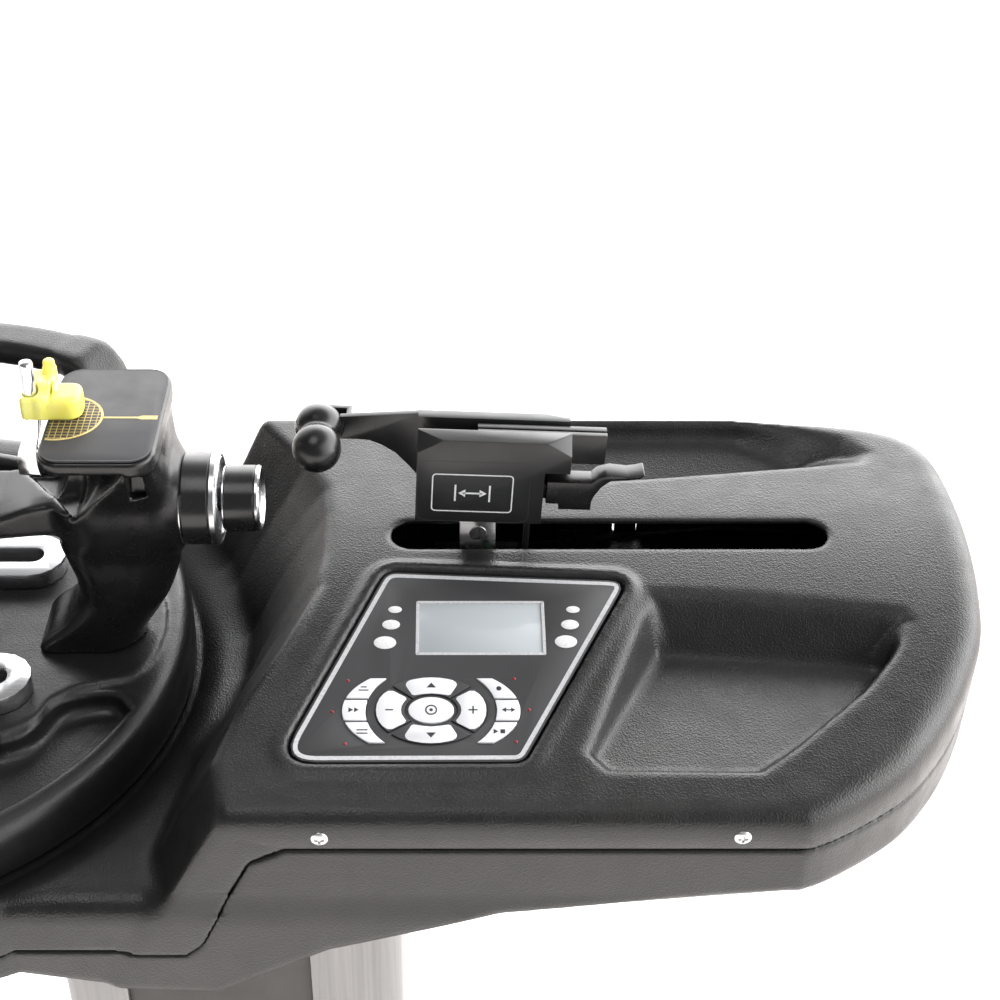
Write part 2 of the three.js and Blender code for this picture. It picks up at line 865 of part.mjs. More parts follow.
function buildBottomShell() {
  const outline = prism(deckOutline(0), bottomDeepLevel - overrun, seamLevel);
  const inside = prism(deckOutline(shellWall), bottomDeepLevel - overrun, overrun);
  const underSeam = aboveLine(seamLine(-seatGap), overrun);
  const outer = cut(outline.intersect(aboveLine(undersideLine(0), overrun)), underSeam);
  const hollow = inside.intersect(aboveLine(undersideLine(shellWall), overrun));
  const half = columnWidth / 2 + runGap;
  const columnHole = box(
    -half, half, columnFront - runGap, columnRear + runGap, bottomDeepLevel - overrun, bottomDeepLevel / 2,
  );
  const posts = boardPosts().map(([x, y]) => {
    const post = rod('z', postRadius, bottomDeepLevel, boardLevel - seatGap, x, y, cornerSteps * 2);
    return post.intersect(aboveLine(undersideLine(shellWall / 2), overrun));
  });
  const inletHole = box(
    inletX - inletWidth / 2 - seatGap, inletX + inletWidth / 2 + seatGap, deckRearY - shellWall - overrun,
    deckRearY + overrun, inletLevel - inletHeight / 2 - seatGap, inletLevel + inletHeight / 2 + seatGap,
  );
  const switchHole = box(
    switchX - switchWidth / 2 - runGap, switchX + switchWidth / 2 + runGap, deckRearY - shellWall - overrun,
    deckRearY + overrun, inletLevel - switchHeight / 2 - runGap, inletLevel + switchHeight / 2 + runGap,
  );
  return cut(join(cut(outer, hollow), ...posts), columnHole, inletHole, switchHole);
}

function boardPosts() {
  const reachX = boardWidth / 2 - postInset;
  const reachY = boardDepth / 2 - postInset;
  const sides = [[-1, -1], [1, -1], [1, 1], [-1, 1]];
  return sides.map(([sideX, sideY]) => [boardX + sideX * reachX, boardY + sideY * reachY]);
}

piece(deck, 'deck_bottom_shell', buildBottomShell(), shellBlack);

// Rear handle: an arched bar round the back of the turntable on two leaning legs
function handleSector(from, to, z, steps) {
  const outerArc = arc(tableX, tableY, handleOuterRadius, from, to, steps);
  const innerArc = arc(tableX, tableY, handleInnerRadius, to, from, steps);
  return atLevel([...outerArc, ...innerArc], z);
}

function buildHandle() {
  const quarter = halfTurn / 2;
  const from = quarter - handleHalfAngle;
  const to = quarter + handleHalfAngle;
  const bottom = platformLevel + seatGap;
  const bar = loft([
    handleSector(from, to, handleTopLevel - handleThickness, roundSteps),
    handleSector(from, to, handleTopLevel, roundSteps),
  ]);
  const legs = [-1, 1].map((side) => {
    const tip = quarter - side * handleHalfAngle;
    const wide = (angle, level) => {
      const ends = [angle, angle + side * handleLegAngle].sort((a, b) => a - b);
      return handleSector(ends[0], ends[1], level, cornerSteps);
    };
    return loft([wide(tip - side * handleLegLean, bottom), wide(tip, handleTopLevel)]);
  });
  return join(bar, ...legs);
}

piece(deck, 'rear_handle', buildHandle(), shellBlack);

// Control panel with its window and keys
const lcdLeft = lcdX - lcdWidth / 2;
const lcdRight = lcdX + lcdWidth / 2;
const lcdTop = -lcdDown + lcdHeight / 2;
const lcdBottom = -lcdDown - lcdHeight / 2;
const panelBack = -panelRecess + seatGap;
const panelFace = panelBack + panelThickness;

function ellipse(halfWidth, halfHeight, from, to, steps) {
  return arc(0, 0, 1, from, to, steps).map(([x, y]) => [padX + x * halfWidth, -padDown + y * halfHeight]);
}

function ringKey(innerX, innerY, outerX, outerY, middle, spread) {
  const steps = 2 * cornerSteps;
  const outside = ellipse(outerX, outerY, middle - spread, middle + spread, steps);
  const inside = ellipse(innerX, innerY, middle + spread, middle - spread, steps);
  return [...outside, ...inside];
}

function innerKey(middle, spread) {
  return ringKey(innerRingInnerX, innerRingInnerY, innerRingOuterX, innerRingOuterY, middle, spread);
}

// One of three keys in the outer arc on a side, cut by level lines
function outerKey(side, row) {
  const pitch = outerKeyHeight * 2 / 3;
  const low = (row - 0.5) * pitch + outerKeyGap / 2;
  const high = (row + 0.5) * pitch - outerKeyGap / 2;
  const steps = cornerSteps;
  const edge = (halfWidth, from, to) => Array.from({ length: steps + 1 }, (_, i) => {
    const level = from + ((to - from) * i) / steps;
    const x = halfWidth * Math.sqrt(1 - (level / outerRingY) ** 2);
    return [padX + side * x, -padDown + level];
  });
  const outline = [...edge(outerRingOuterX, low, high), ...edge(outerRingInnerX, high, low)];
  return side > 0 ? outline : outline.reverse();
}

const quarterTurn = halfTurn / 2;
const keyOutlines = {
  enter_key: ellipse(enterHalfWidth, enterHalfHeight, 0, 2 * halfTurn * (1 - 1 / fineSteps), fineSteps - 1),
  up_key: innerKey(quarterTurn, innerEndAngle),
  down_key: innerKey(3 * quarterTurn, innerEndAngle),
  minus_key: innerKey(halfTurn, innerSideAngle - outerKeyGap / innerRingInnerX),
  plus_key: innerKey(0, innerSideAngle - outerKeyGap / innerRingInnerX),
  unit_key: outerKey(-1, 1),
  speed_key: outerKey(-1, 0),
  constant_key: outerKey(-1, -1),
  knot_key: outerKey(1, 1),
  stretch_key: outerKey(1, 0),
  start_key: outerKey(1, -1),
};

function buildPanel() {
  const plate = prism(panelShape, panelBack, panelFace);
  const openings = Object.values(keyOutlines).map((outline) => (
    prism(grow(outline, keyGap), panelBack - overrun, overrun)
  ));
  const rebate = box(
    lcdLeft - seatGap, lcdRight + seatGap, lcdBottom - seatGap, lcdTop + seatGap,
    panelFace - lcdThickness, overrun,
  );
  return cut(plate, rebate, ...openings);
}

piece(slopeGroup, 'control_panel', buildPanel(), panelGrey);

const lcdBack = panelFace - lcdThickness + seatGap;
const lcdWindow = box(lcdLeft, lcdRight, lcdBottom, lcdTop, lcdBack, lcdBack + lcdRebate);
piece(slopeGroup, 'lcd_window', lcdWindow, glassGrey);

for (const [name, outline] of Object.entries(keyOutlines)) {
  const top = panelFace + keyRise;
  piece(slopeGroup, name, prism(outline, top - keyThickness, top), keyGrey);
}

// Chassis, a bent steel channel that carries the turntable and the tension drive
function buildChassis() {
  const lower = [
    [chassisLeftX, chassisLowLevel], [chassisBendLowX, chassisLowLevel],
    [chassisBendHighX, chassisHighLevel], [chassisRightX, chassisHighLevel],
  ];
  const upper = lower.map(([x, z]) => [x, z + chassisThickness]).reverse();
  return sideways([...lower, ...upper], chassisFrontY, chassisRearY);
}

piece(deck, 'chassis', buildChassis(), steelGrey);

const chassisHighTop = chassisHighLevel + chassisThickness;
const chassisLowTop = chassisLowLevel + chassisThickness;

const railBottom = chassisHighTop + seatGap;
const railTop = railBottom + railHeight;

function buildRail() {
  const rearSide = lineY + railWidth / 2;
  const bar = box(railStartX, railEndX, lineY - railWidth / 2, rearSide, railBottom, railTop);
  const bearing = box(
    railStartX, railStartX + bearingThickness, screwY - bearingReach, rearSide, railBottom,
    screwLevel + bearingReach,
  );
  const boreEnd = railStartX + bearingThickness + overrun;
  const bore = rod('x', screwRadius + seatGap, railStartX - overrun, boreEnd, screwY, screwLevel);
  return cut(join(bar, bearing), bore);
}

piece(deck, 'tension_rail', buildRail(), brushed);

const motorBottom = chassisHighTop + seatGap;
const motorLeft = chassisRightX - motorLength;
const motorTop = screwLevel + motorWidth / 2;

function buildMotor() {
  const front = screwY - motorWidth / 2;
  const body = box(motorLeft, chassisRightX, front, front + motorWidth, motorBottom, motorTop);
  const holeEnd = motorLeft + motorLength / 3;
  const hole = rod('x', motorShaftHole, motorLeft - overrun, holeEnd, screwY, screwLevel);
  return cut(body, hole);
}

piece(deck, 'tension_motor', buildMotor(), steelGrey);

const screwEnd = motorLeft + motorLength / 3 - runGap;
piece(deck, 'lead_screw', rod('x', screwRadius, screwStartX, screwEnd, screwY, screwLevel), brushed);

// Controller board on four posts, with its tall parts as one block
function buildBoard() {
  const x0 = boardX - boardWidth / 2;
  const y0 = boardY - boardDepth / 2;
  const card = box(x0, x0 + boardWidth, y0, y0 + boardDepth, boardLevel, boardLevel + boardThickness);
  const edge = 2 * postInset;
  const parts = box(
    x0 + edge, x0 + boardWidth / 2, y0 + edge, y0 + boardDepth - edge, boardLevel, boardLevel + chipHeight,
  );
  return join(card, parts);
}

piece(deck, 'controller_board', buildBoard(), boardGreen);

// Mains inlet and rocker switch in the rear wall
function buildInlet() {
  const halfWidth = inletWidth / 2;
  const halfHeight = inletHeight / 2;
  const face = deckRearY + seatGap;
  const body = box(
    inletX - halfWidth, inletX + halfWidth, deckRearY - inletDepth, face, inletLevel - halfHeight,
    inletLevel + halfHeight,
  );
  const flange = box(
    inletX - halfWidth - inletFlange, inletX + halfWidth + inletFlange, face, face + inletFlangeThickness,
    inletLevel - halfHeight - inletFlange, inletLevel + halfHeight + inletFlange,
  );
  const socket = box(
    inletX - halfWidth + socketWall, inletX + halfWidth - socketWall,
    face + inletFlangeThickness - socketDepth, face + overrun,
    inletLevel - halfHeight + socketWall, inletLevel + halfHeight - socketWall,
  );
  return cut(join(body, flange), socket);
}

piece(deck, 'power_inlet', buildInlet(), castBlack);

const switchGroup = new THREE.Group();
switchGroup.position.set(switchX, deckRearY, inletLevel);
deck.add(switchGroup);

function buildSwitch() {
  const halfWidth = switchWidth / 2;
  const low = switchHeight / 2 - runGap * 2;
  const rise = Math.tan(switchTilt) * low;
  const outline = [
    [-switchDepth / 2, -low], [switchRise + rise, -low], [switchRise, 0], [switchRise + rise, low],
    [-switchDepth / 2, low],
  ];
  return lengthwise(outline, -halfWidth, halfWidth);
}

piece(switchGroup, 'power_switch', buildSwitch(), castBlack);

// Turntable on its spindle
const table = new THREE.Group();
table.position.set(tableX, tableY, 0);
deck.add(table);

const spindleBottom = chassisLowTop + seatGap;
const spindleTop = tableBottomLevel + spindleDepth;
const spindle = turned([
  [0, spindleBottom], [spindleFlangeRadius, spindleBottom],
  [spindleFlangeRadius, spindleBottom + spindleFlangeThickness],
  [hubRadius - overrun, spindleBottom + spindleFlangeThickness],
  [hubRadius - overrun, tableBottomLevel - seatGap], [spindleRadius, tableBottomLevel - seatGap],
  [spindleRadius, spindleTop], [0, spindleTop],
], roundSteps);
piece(table, 'turntable_spindle', spindle, brushed);

// A pocket beside one clamp guide: its far side follows the rim
function pocketShape() {
  const cornerAngle = Math.acos(pocketHalfLength / pocketOuterRadius);
  const outer = arc(0, 0, pocketOuterRadius, cornerAngle, halfTurn - cornerAngle, roundSteps);
  return [
    ...outer, [-pocketHalfLength + pocketWall, pocketNearY], [-pocketStepX, pocketNearY],
    [-pocketBayX, pocketFarY], [pocketBayX, pocketFarY], [pocketStepX, pocketNearY],
    [pocketHalfLength - pocketWall, pocketNearY],
  ];
}

function buildTable() {
  const round = tableEdgeRound;
  const rim = turned([
    [0, tableBottomLevel], [tableRadius - round, tableBottomLevel], [tableRadius, tableBottomLevel + round],
    [tableRadius, tableTopLevel - round], [tableRadius - round / 3, tableTopLevel - round / 3],
    [tableRadius - round, tableTopLevel], [0, tableTopLevel],
  ], fineSteps + roundSteps);
  const floor = tableTopLevel - pocketDepth;
  const pocket = prism(pocketShape(), floor, tableTopLevel + overrun);
  const bore = rod('z', spindleRadius + runGap / 2, tableBottomLevel - overrun, spindleTop + seatGap, 0, 0);
  const under = turned([
    [hubRadius + pocketWall, tableBottomLevel - overrun],
    [tableRadius - tableRimWidth, tableBottomLevel - overrun],
    [tableRadius - tableRimWidth, floor - pocketWall],
    [hubRadius + pocketWall, floor - pocketWall], [hubRadius + pocketWall, tableBottomLevel - overrun],
  ], fineSteps);
  return cut(rim, pocket, pocket.rotate([0, 0, 180]), bore, under);
}

piece(table, 'turntable', buildTable(), shellBlack);

const tableSeat = tableTopLevel + seatGap;

// Two slotted guides for the string clamps, each side of the bridge
const guideTop = tableSeat + guideThickness;
for (const [name, side] of [['front_clamp_guide', -1], ['rear_clamp_guide', 1]]) {
  const y = side * guideY;
  const bar = prism(stadium(-guideHalfLength, guideHalfLength, y, guideWidth), tableSeat, guideTop);
  const end = guideHalfLength - (guideWidth - guideSlot) / 2;
  const slot = prism(stadium(-end, end, y, guideSlot), tableSeat - overrun, guideTop + overrun);
  piece(table, name, cut(bar, slot), brushed);
}

// Bridge between the towers on its pedestal
function buildBridge() {
  const bar = box(-bridgeReach, bridgeReach, -bridgeWidth / 2, bridgeWidth / 2, bridgeBottom, bridgeTop);
  const pedestal = box(
    -pedestalLength / 2, pedestalLength / 2, -pedestalWidth / 2, pedestalWidth / 2, tableSeat, bridgeTop,
  );
  return join(bar, pedestal);
}

piece(table, 'bridge', buildBridge(), castBlack);

// One tower with its plate, knobs, hook and racket support; the left set is the right one turned round
function towerRing(inner, outer, halfDepth, level, outerRound) {
  const corners = [[outer, -halfDepth], [outer, halfDepth], [inner, halfDepth], [inner, -halfDepth]];
  return atLevel(rounded(corners, [outerRound, outerRound, towerCorner, towerCorner]), level);
}

const plateBottom = towerTopLevel + seatGap;
const plateTop = plateBottom + plateThickness;
const slabBottom = towerTopLevel - towerTopDrop;

// The sleeve that runs inward along the bridge
function buildSleeve() {
  const end = neckOuter - towerCorner;
  const side = sideways([
    [sleeveInner, sleeveBottom], [end, sleeveBottom], [end, sleeveHighTop], [sleeveRiseEnd, sleeveHighTop],
    [sleeveRiseStart, sleeveTop], [sleeveInner, sleeveTop],
  ], -sleeveHalfDepth, sleeveHalfDepth);
  const plan = prism([
    [sleeveInner, -sleeveHalfDepth], [sleeveRiseStart, -sleeveHalfDepth],
    [sleeveRiseEnd, -sleeveEndHalfDepth],
    [end, -sleeveEndHalfDepth], [end, sleeveEndHalfDepth], [sleeveRiseEnd, sleeveEndHalfDepth],
    [sleeveRiseStart, sleeveHalfDepth], [sleeveInner, sleeveHalfDepth],
  ], sleeveBottom - overrun, sleeveHighTop + overrun);
  return side.intersect(plan);
}

// The hollow under the head slab, open to the front and to the sleeve, with a floor that rises outward
function scoopCutter() {
  const front = -plateHalfDepth - overrun;
  const plan = prism([
    [scoopFrontX, front], [scoopEndX, front], [scoopEndX, scoopCoreY], [scoopCoreX, scoopCoreY],
    [scoopCoreX, scoopRearY], [scoopRearX, scoopRearY],
  ], scoopFloor - overrun, slabBottom);
  const floor = scoopRiseShares.map(([along, up]) => [
    scoopRearX + (scoopEndX - scoopRearX) * along, scoopFloor + (slabBottom - scoopFloor) * up,
  ]);
  const above = sideways([...floor, [scoopRearX, slabBottom]], front, scoopRearY);
  return plan.intersect(above);
}

function buildTower() {
  const neckRound = neckHalfDepth - seatGap;
  const footRound = footHalfDepth - seatGap;
  const toeInner = footInner + towerCorner;
  const toeLevel = (tableSeat + heelLevel) / 2;
  const middleLevel = (shoulderLevel + towerTopLevel) / 2;
  const middleHalfDepth = (shoulderHalfDepth + plateHalfDepth) / 2;
  const rim = plateRim;
  const body = loft([
    towerRing(footInner, footOuter, footHalfDepth, tableSeat, footRound),
    towerRing(toeInner, (footOuter + heelOuter) / 2, footHalfDepth, toeLevel, footRound),
    towerRing(neckInner - towerCorner / 2, heelOuter, neckHalfDepth, heelLevel, neckRound),
    towerRing(neckInner, neckOuter, neckHalfDepth, neckLevel, neckRound),
    towerRing(waistInner, shoulderOuter, neckHalfDepth + runGap, 0, neckRound),
    towerRing(towerInner, shoulderOuter, shoulderHalfDepth, shoulderLevel, neckRound),
    towerRing(towerInner, shoulderOuter - rim, middleHalfDepth, middleLevel, shoulderRound),
    towerRing(towerInner - rim, towerOuter + rim, plateHalfDepth + rim, slabBottom, plateCorner),
    towerRing(towerInner - rim, towerOuter + rim, plateHalfDepth + rim, towerTopLevel - rim, plateCorner),
    towerRing(towerInner, towerOuter, plateHalfDepth, towerTopLevel, plateCorner),
  ]);
  const boss = rod('x', bossRadius, towerInner + towerCorner, bossFace, 0, knobLevel);
  const stub = rod('x', stubRadius, bossFace - overrun, bossFace + stubLength, 0, knobLevel);
  const stubBore = rod(
    'x', fineStemRadius + runGap / 2, bossFace, bossFace + stubLength + overrun, 0, knobLevel,
  );
  const bridgeHole = box(
    footInner / 2, bridgeReach + towerTravelIn + runGap, -bridgeWidth / 2 - runGap,
    bridgeWidth / 2 + runGap, bridgeBottom - runGap, bridgeTop + runGap,
  );
  const notch = box(
    scoopEndX - runGap, notchEndX, -plateHalfDepth - overrun, notchY, notchBottom, slabBottom,
  );
  return cut(join(cut(join(body, buildSleeve()), scoopCutter(), notch), boss, stub), stubBore, bridgeHole);
}

const collarFace = bossFace + seatGap;
const fineFace = bossFace + stubLength + seatGap;

function buildCollar() {
  const ringStart = collarFace + collarLength - collarRingLength / 2;
  const chamfer = runGap * 2;
  const grip = rod('x', collarRadius, collarFace, ringStart, 0, knobLevel);
  const ring = rod('x', collarRingRadius, ringStart - chamfer, ringStart + collarRingLength, 0, knobLevel);
  const bore = rod('x', stubRadius + runGap / 2, collarFace - overrun, fineFace + overrun, 0, knobLevel);
  return cut(join(grip, ring), bore);
}

function buildFineKnob() {
  const knob = rod('x', fineKnobRadius, fineFace, fineFace + fineKnobLength, 0, knobLevel);
  const stem = rod('x', fineStemRadius, fineFace - fineStemLength, fineFace + overrun, 0, knobLevel);
  return join(knob, stem);
}

function buildHook() {
  const height = plateTop - hookBottom;
  const left = hookLeftShares.map(([down, out]) => [
    hookHeadLeft + (hookHeelLeft - hookHeadLeft) * out, plateTop - height * down,
  ]);
  const right = hookRightShares.map(([down, along]) => [
    hookHeelRight - runGap + (hookHeadRight - hookHeelRight) * (1 - down) * (1 - along) + runGap * along,
    plateTop - height * down,
  ]);
  const strip = sideways([...left, ...right], hookY - hookHalfDepth, hookY + hookHalfDepth);
  const head = box(
    hookHeadLeft, hookHeadRight, hookY - hookHalfDepth, hookY + hookHalfDepth, plateTop - runGap,
    plateTop + hookHalfDepth,
  );
  const pin = rod('z', hookPinRadius, plateTop, hookPinTop, hookX, hookY, cornerSteps * 3);
  return join(strip, head, pin);
}

function buildSupport() {
  const floor = plateTop + supportFloorGap;
  const round = supportRound;
  const blockOutline = roundRect(supportInner, supportBlockEnd, supportFront, supportBlockRear, round);
  const block = prism(blockOutline, floor, supportTop);
  const lobeStart = supportBlockEnd - 2 * round;
  const lobeOutline = rounded(
    [
      [lobeStart, supportFront], [supportOuter, supportFront], [supportOuter, supportLobeRear],
      [supportBackRight, supportLobeRear], [lobeStart, supportBlockRear],
    ],
    [round, supportLobeRound, supportLobeRound, round, round],
  );
  const lobe = prism(lobeOutline, floor, supportTop);
  const backOutline = roundRect(supportBackLeft, supportBackRight, 0, supportBackRear, round);
  const back = prism(backOutline, floor, supportBackTop);
  const nubY = supportBackRear - supportNubRadius - runGap;
  const pinSteps = cornerSteps * 3;
  const nub = rod('z', supportNubRadius, floor, supportNubTop, supportNubX, nubY, pinSteps);
  const clear = seatGap;
  const pinHole = rod('z', hookPinRadius + clear, floor - overrun, supportNubTop, hookX, hookY, pinSteps);
  const stripHole = box(
    hookHeadLeft - clear, hookHeadRight + clear, hookY - hookHalfDepth - clear,
    hookY + hookHalfDepth + clear, floor - overrun, plateTop + hookHalfDepth + clear,
  );
  return cut(join(block, lobe, back, nub), pinHole, stripHole);
}

function addTowerSet(side, turn) {
  const set = new THREE.Group();
  set.rotation.z = turn;
  table.add(set);
  piece(set, `${side}_tower`, buildTower(), castBlack);
  const steps = 2 * cornerSteps;
  const halfDepth = plateHalfDepth;
  const plateOutline = roundRect(towerInner, towerOuter, -halfDepth, halfDepth, plateCorner, steps);
  piece(set, `${side}_tower_plate`, prism(plateOutline, plateBottom, plateTop), plateBlack);
  piece(set, `${side}_collar_knob`, buildCollar(), castBlack);
  piece(set, `${side}_fine_knob`, buildFineKnob(), castBlack);
  piece(set, `${side}_frame_hook`, buildHook(), chromed);
  piece(set, `${side}_racket_support`, buildSupport(), yellowPlastic);
}

addTowerSet('right', 0);
addTowerSet('left', halfTurn);

// String clamps: a base that runs along its guide, a head that rises from the base, and a lever
function addClamp(side, turn) {
  const set = new THREE.Group();
  set.rotation.z = turn;
  table.add(set);
  const x = clampX;
  const y = -guideY;
  const seat = guideTop + seatGap;
  const pinSteps = cornerSteps * 3;
  const discTopRadius = clampBaseRadius - clampPostWall;
  const disc = rod('z', clampBaseRadius, seat, seat + clampBaseHeight, x, y, roundSteps, discTopRadius);
  const tenon = box(
    x - clampTenonLength / 2, x + clampTenonLength / 2, y - guideSlot / 2 + runGap,
    y + guideSlot / 2 - runGap, tableSeat + seatGap, seat + seatGap,
  );
  const post = rod('z', clampPostRadius, seat, clampPostTop, x, y);
  const stemBottom = clampPostTop - clampStemDrop;
  const bore = rod('z', clampStemRadius + runGap, stemBottom - runGap, clampPostTop + overrun, x, y);
  piece(set, `${side}_clamp_base`, cut(join(disc, tenon, post), bore), anodised);

  const stem = rod('z', clampStemRadius, stemBottom + runGap * 2, clampHeadTop, x, y);
  const halfLength = clampHeadLength / 2;
  const halfWidth = clampHeadWidth / 2;
  const head = box(
    x - halfLength, x + halfLength, y - halfWidth, y + halfWidth, clampHeadBottom, clampHeadTop,
  );
  const teeth = box(
    x - clampToothLength / 2, x + clampToothLength / 2, y - clampToothWidth, y + clampToothWidth,
    clampHeadTop - overrun, clampToothTop,
  );
  const mouth = box(
    x - clampToothLength, x + clampToothLength, y - clampJawGap / 2, y + clampJawGap / 2,
    clampHeadTop - overrun / 2, clampToothTop + overrun,
  );
  const leverSlot = box(
    x + clampToothLength / 2 + overrun / 2, x + halfLength + overrun, y - clampLeverThickness / 2 - runGap,
    y + clampLeverThickness / 2 + runGap, clampHeadBottom - overrun, clampHeadTop + overrun,
  );
  const pinX = x + halfLength - clampLeverWidth / 2;
  const pinZ = (clampHeadBottom + clampHeadTop) / 2;
  const pinHole = rod('y', clampLeverPin, y - clampHeadWidth, y + clampHeadWidth, pinX, pinZ, pinSteps);
  piece(set, `${side}_clamp_head`, cut(join(stem, head, teeth), mouth, leverSlot, pinHole), brushed);

  const leverHalf = clampLeverWidth / 2;
  const leverOutline = stadium(pinX - leverHalf, pinX + clampLeverLength, y, clampLeverThickness);
  const bar = prism(leverOutline, pinZ - leverHalf, pinZ + leverHalf);
  const pin = rod('y', clampLeverPin - runGap / 2, y - halfWidth, y + halfWidth, pinX, pinZ, pinSteps);
  piece(set, `${side}_clamp_lever`, join(bar, pin), castBlack);
}

addClamp('front', 0);
addClamp('rear', halfTurn);

// Carriage: a block on the rail with a stem that rises through the slot, and the pivot for the head
function buildCarriage() {
  const top = carriageTopLevel;
  const block = box(
    stemX - carriageLength / 2, stemX + carriageLength / 2, lineY - carriageWidth / 2,
    lineY + carriageWidth / 2, railTop - carriageSkirt, top,
  );
  const groove = box(
    stemX - carriageLength, stemX + carriageLength, lineY - railWidth / 2 - seatGap,
    lineY + railWidth / 2 + seatGap, railTop - carriageSkirt - overrun, railTop + seatGap,
  );
  const stem = box(
    stemX - stemLength / 2, stemX + stemLength / 2, lineY - stemWidth / 2, lineY + stemWidth / 2,
    top - overrun, stemRise,
  );
  const pin = rod(
    'y', pivotRadius, lineY - stemWidth / 2 - pivotReach, lineY + stemWidth / 2 + pivotReach, stemX,
    pivotLevel,
  );
  const nutEnd = stemX + carriageLength;
  const nut = rod('x', screwRadius + runGap, stemX - carriageLength, nutEnd, screwY, screwLevel);
  return cut(join(cut(block, groove), stem, pin), nut);
}

piece(deck, 'tension_carriage', buildCarriage(), brushed);

// Tension head, drawn upright about its pivot and then leant
const head = new THREE.Group();
head.position.set(stemX, lineY, pivotLevel);
head.rotation.y = headTilt;
deck.add(head);

// Cuts one upper front corner off the head with a slanted facet
function headFacet(x, side) {
  const corner = [x + side * seatGap, headFront - seatGap, headTop + seatGap];
  const along = [x - side * headFacetLength, headFront - seatGap, headTop + seatGap];
  const inward = [x + side * seatGap, headFront + headFacetDepth, headTop + seatGap];
  const down = [x + side * seatGap, headFront - seatGap, headTop - headFacetDrop];
  const geometry = new THREE.BufferGeometry();
  const place = [...corner, ...along, ...inward, ...down];
  geometry.setAttribute('position', new THREE.BufferAttribute(Float32Array.from(place), 3));
  geometry.setIndex([0, 1, 2, 0, 2, 3, 0, 3, 1, 1, 3, 2]);
  return solid(geometry);
}

function stemPocket(y0, y1) {
  return box(
    -stemLength / 2 - 2 * runGap, stemLength / 2 + 2 * runGap, y0, y1,
    headBottom - overrun, stemRise - pivotLevel + 2 * runGap,
  );
}

function buildHeadBody() {
  const outline = [
    [headLeft, headBottom], [headRight, headBottom], [headRight, headStep], [headOverhang, headStep],
    [headOverhang, headTop], [headLeft, headTop],
  ];
  const block = sideways(outline, headFront, headBack);
  const floorBottom = headFloor - 2 * overrun;
  const floor = box(headLeft, headOverhang, headBack - runGap, headSplit, floorBottom, headFloor);
  const web = box(headLeft, headRight, headBack - runGap, headSplit, headBottom, headFloor);
  const tab = box(tabLeft, tabLeft + tabWidth, -tabDepth / 2, tabDepth / 2, tabBottom, headFloor);
  const boreStart = -stemWidth / 2 - pivotReach - runGap;
  const pinBore = rod('y', pivotRadius + runGap / 2, boreStart, headSplit + overrun, 0, 0);
  const lugY = (triggerFront + triggerRear) / 2;
  const lugHalf = triggerLugWidth / 2;
  const bayReach = triggerLugHeight / 2 + 3 * runGap;
  const boreReach = lugHalf + triggerPinReach + runGap;
  const triggerBay = box(
    triggerPivotX - triggerLugHeight / 2 - 2 * runGap, headRight + overrun, lugY - lugHalf - runGap,
    lugY + lugHalf + runGap, triggerPivotLevel - bayReach, triggerPivotLevel + bayReach,
  );
  const triggerBore = rod(
    'y', triggerPinRadius + runGap / 2, lugY - boreReach, lugY + boreReach, triggerPivotX,
    triggerPivotLevel, cornerSteps * 3,
  );
  const over = box(headRight, headOverhang + overrun, headFront, headSplit + overrun, headBottom, headStep);
  const facets = [headFacet(headLeft, -1), headFacet(headOverhang, 1)];
  const pocket = stemPocket(-stemWidth / 2 - runGap, stemWidth / 2 + runGap);
  const whole = join(block, cut(join(floor, web), over), tab);
  return cut(whole, ...facets, pocket, pinBore, triggerBay, triggerBore);
}

piece(head, 'head_body', buildHeadBody(), anodised);

// Side bar: the head's rear plate, drawn out to the left as the arm of the string guide
function buildSideBar() {
  const lean = armLeanShares.map(([along, down]) => [
    armTip + (headLeft - armTip) * along, armTipBottom + (armRootBottom - armTipBottom) * down,
  ]);
  const rootX = headLeft + overrun;
  const armOutline = [
    ...lean, [rootX, armRootBottom], [rootX, armTop], [headLeft, armTop], [armTip, armTipTop],
  ];
  const arm = sideways(armOutline, armFront, headRear);
  const barOutline = [
    [headLeft, headSplit + seatGap], [headOverhang, headSplit + seatGap],
    [headOverhang, headRear - barEndDepth], [headOverhang - barEndLength, headRear], [headLeft, headRear],
  ];
  const bar = prism(barOutline, armRootBottom, headTop);
  const ball = new THREE.SphereGeometry(ballRadius + seatGap, roundSteps, roundSteps / 2);
  const ballSeat = solid(ball.translate(ballX, ballSpacing / 2, ballLevel));
  const pocket = stemPocket(headSplit - overrun, stemWidth / 2 + pivotReach + runGap);
  const axleEnd = ballSpacing / 2 + ballRadius + seatGap;
  const earBottom = ballLevel - earReach;
  const earTop = ballLevel + earReach;
  const ear = box(ballX - earReach, earRight, axleEnd, axleEnd + earThickness, earBottom, earTop);
  const linkLeft = earRight - earThickness;
  const link = box(linkLeft, earRight, headRear - runGap, axleEnd + earThickness, earBottom, earTop);
  const axleStart = -ballSpacing / 2;
  const axle = rod('y', guideAxleRadius, axleStart, axleEnd + runGap, ballX, ballLevel, cornerSteps * 3);
  return join(cut(join(arm, cut(bar, pocket), link), ballSeat), ear, axle);
}

piece(head, 'head_side_bar', buildSideBar(), anodised);

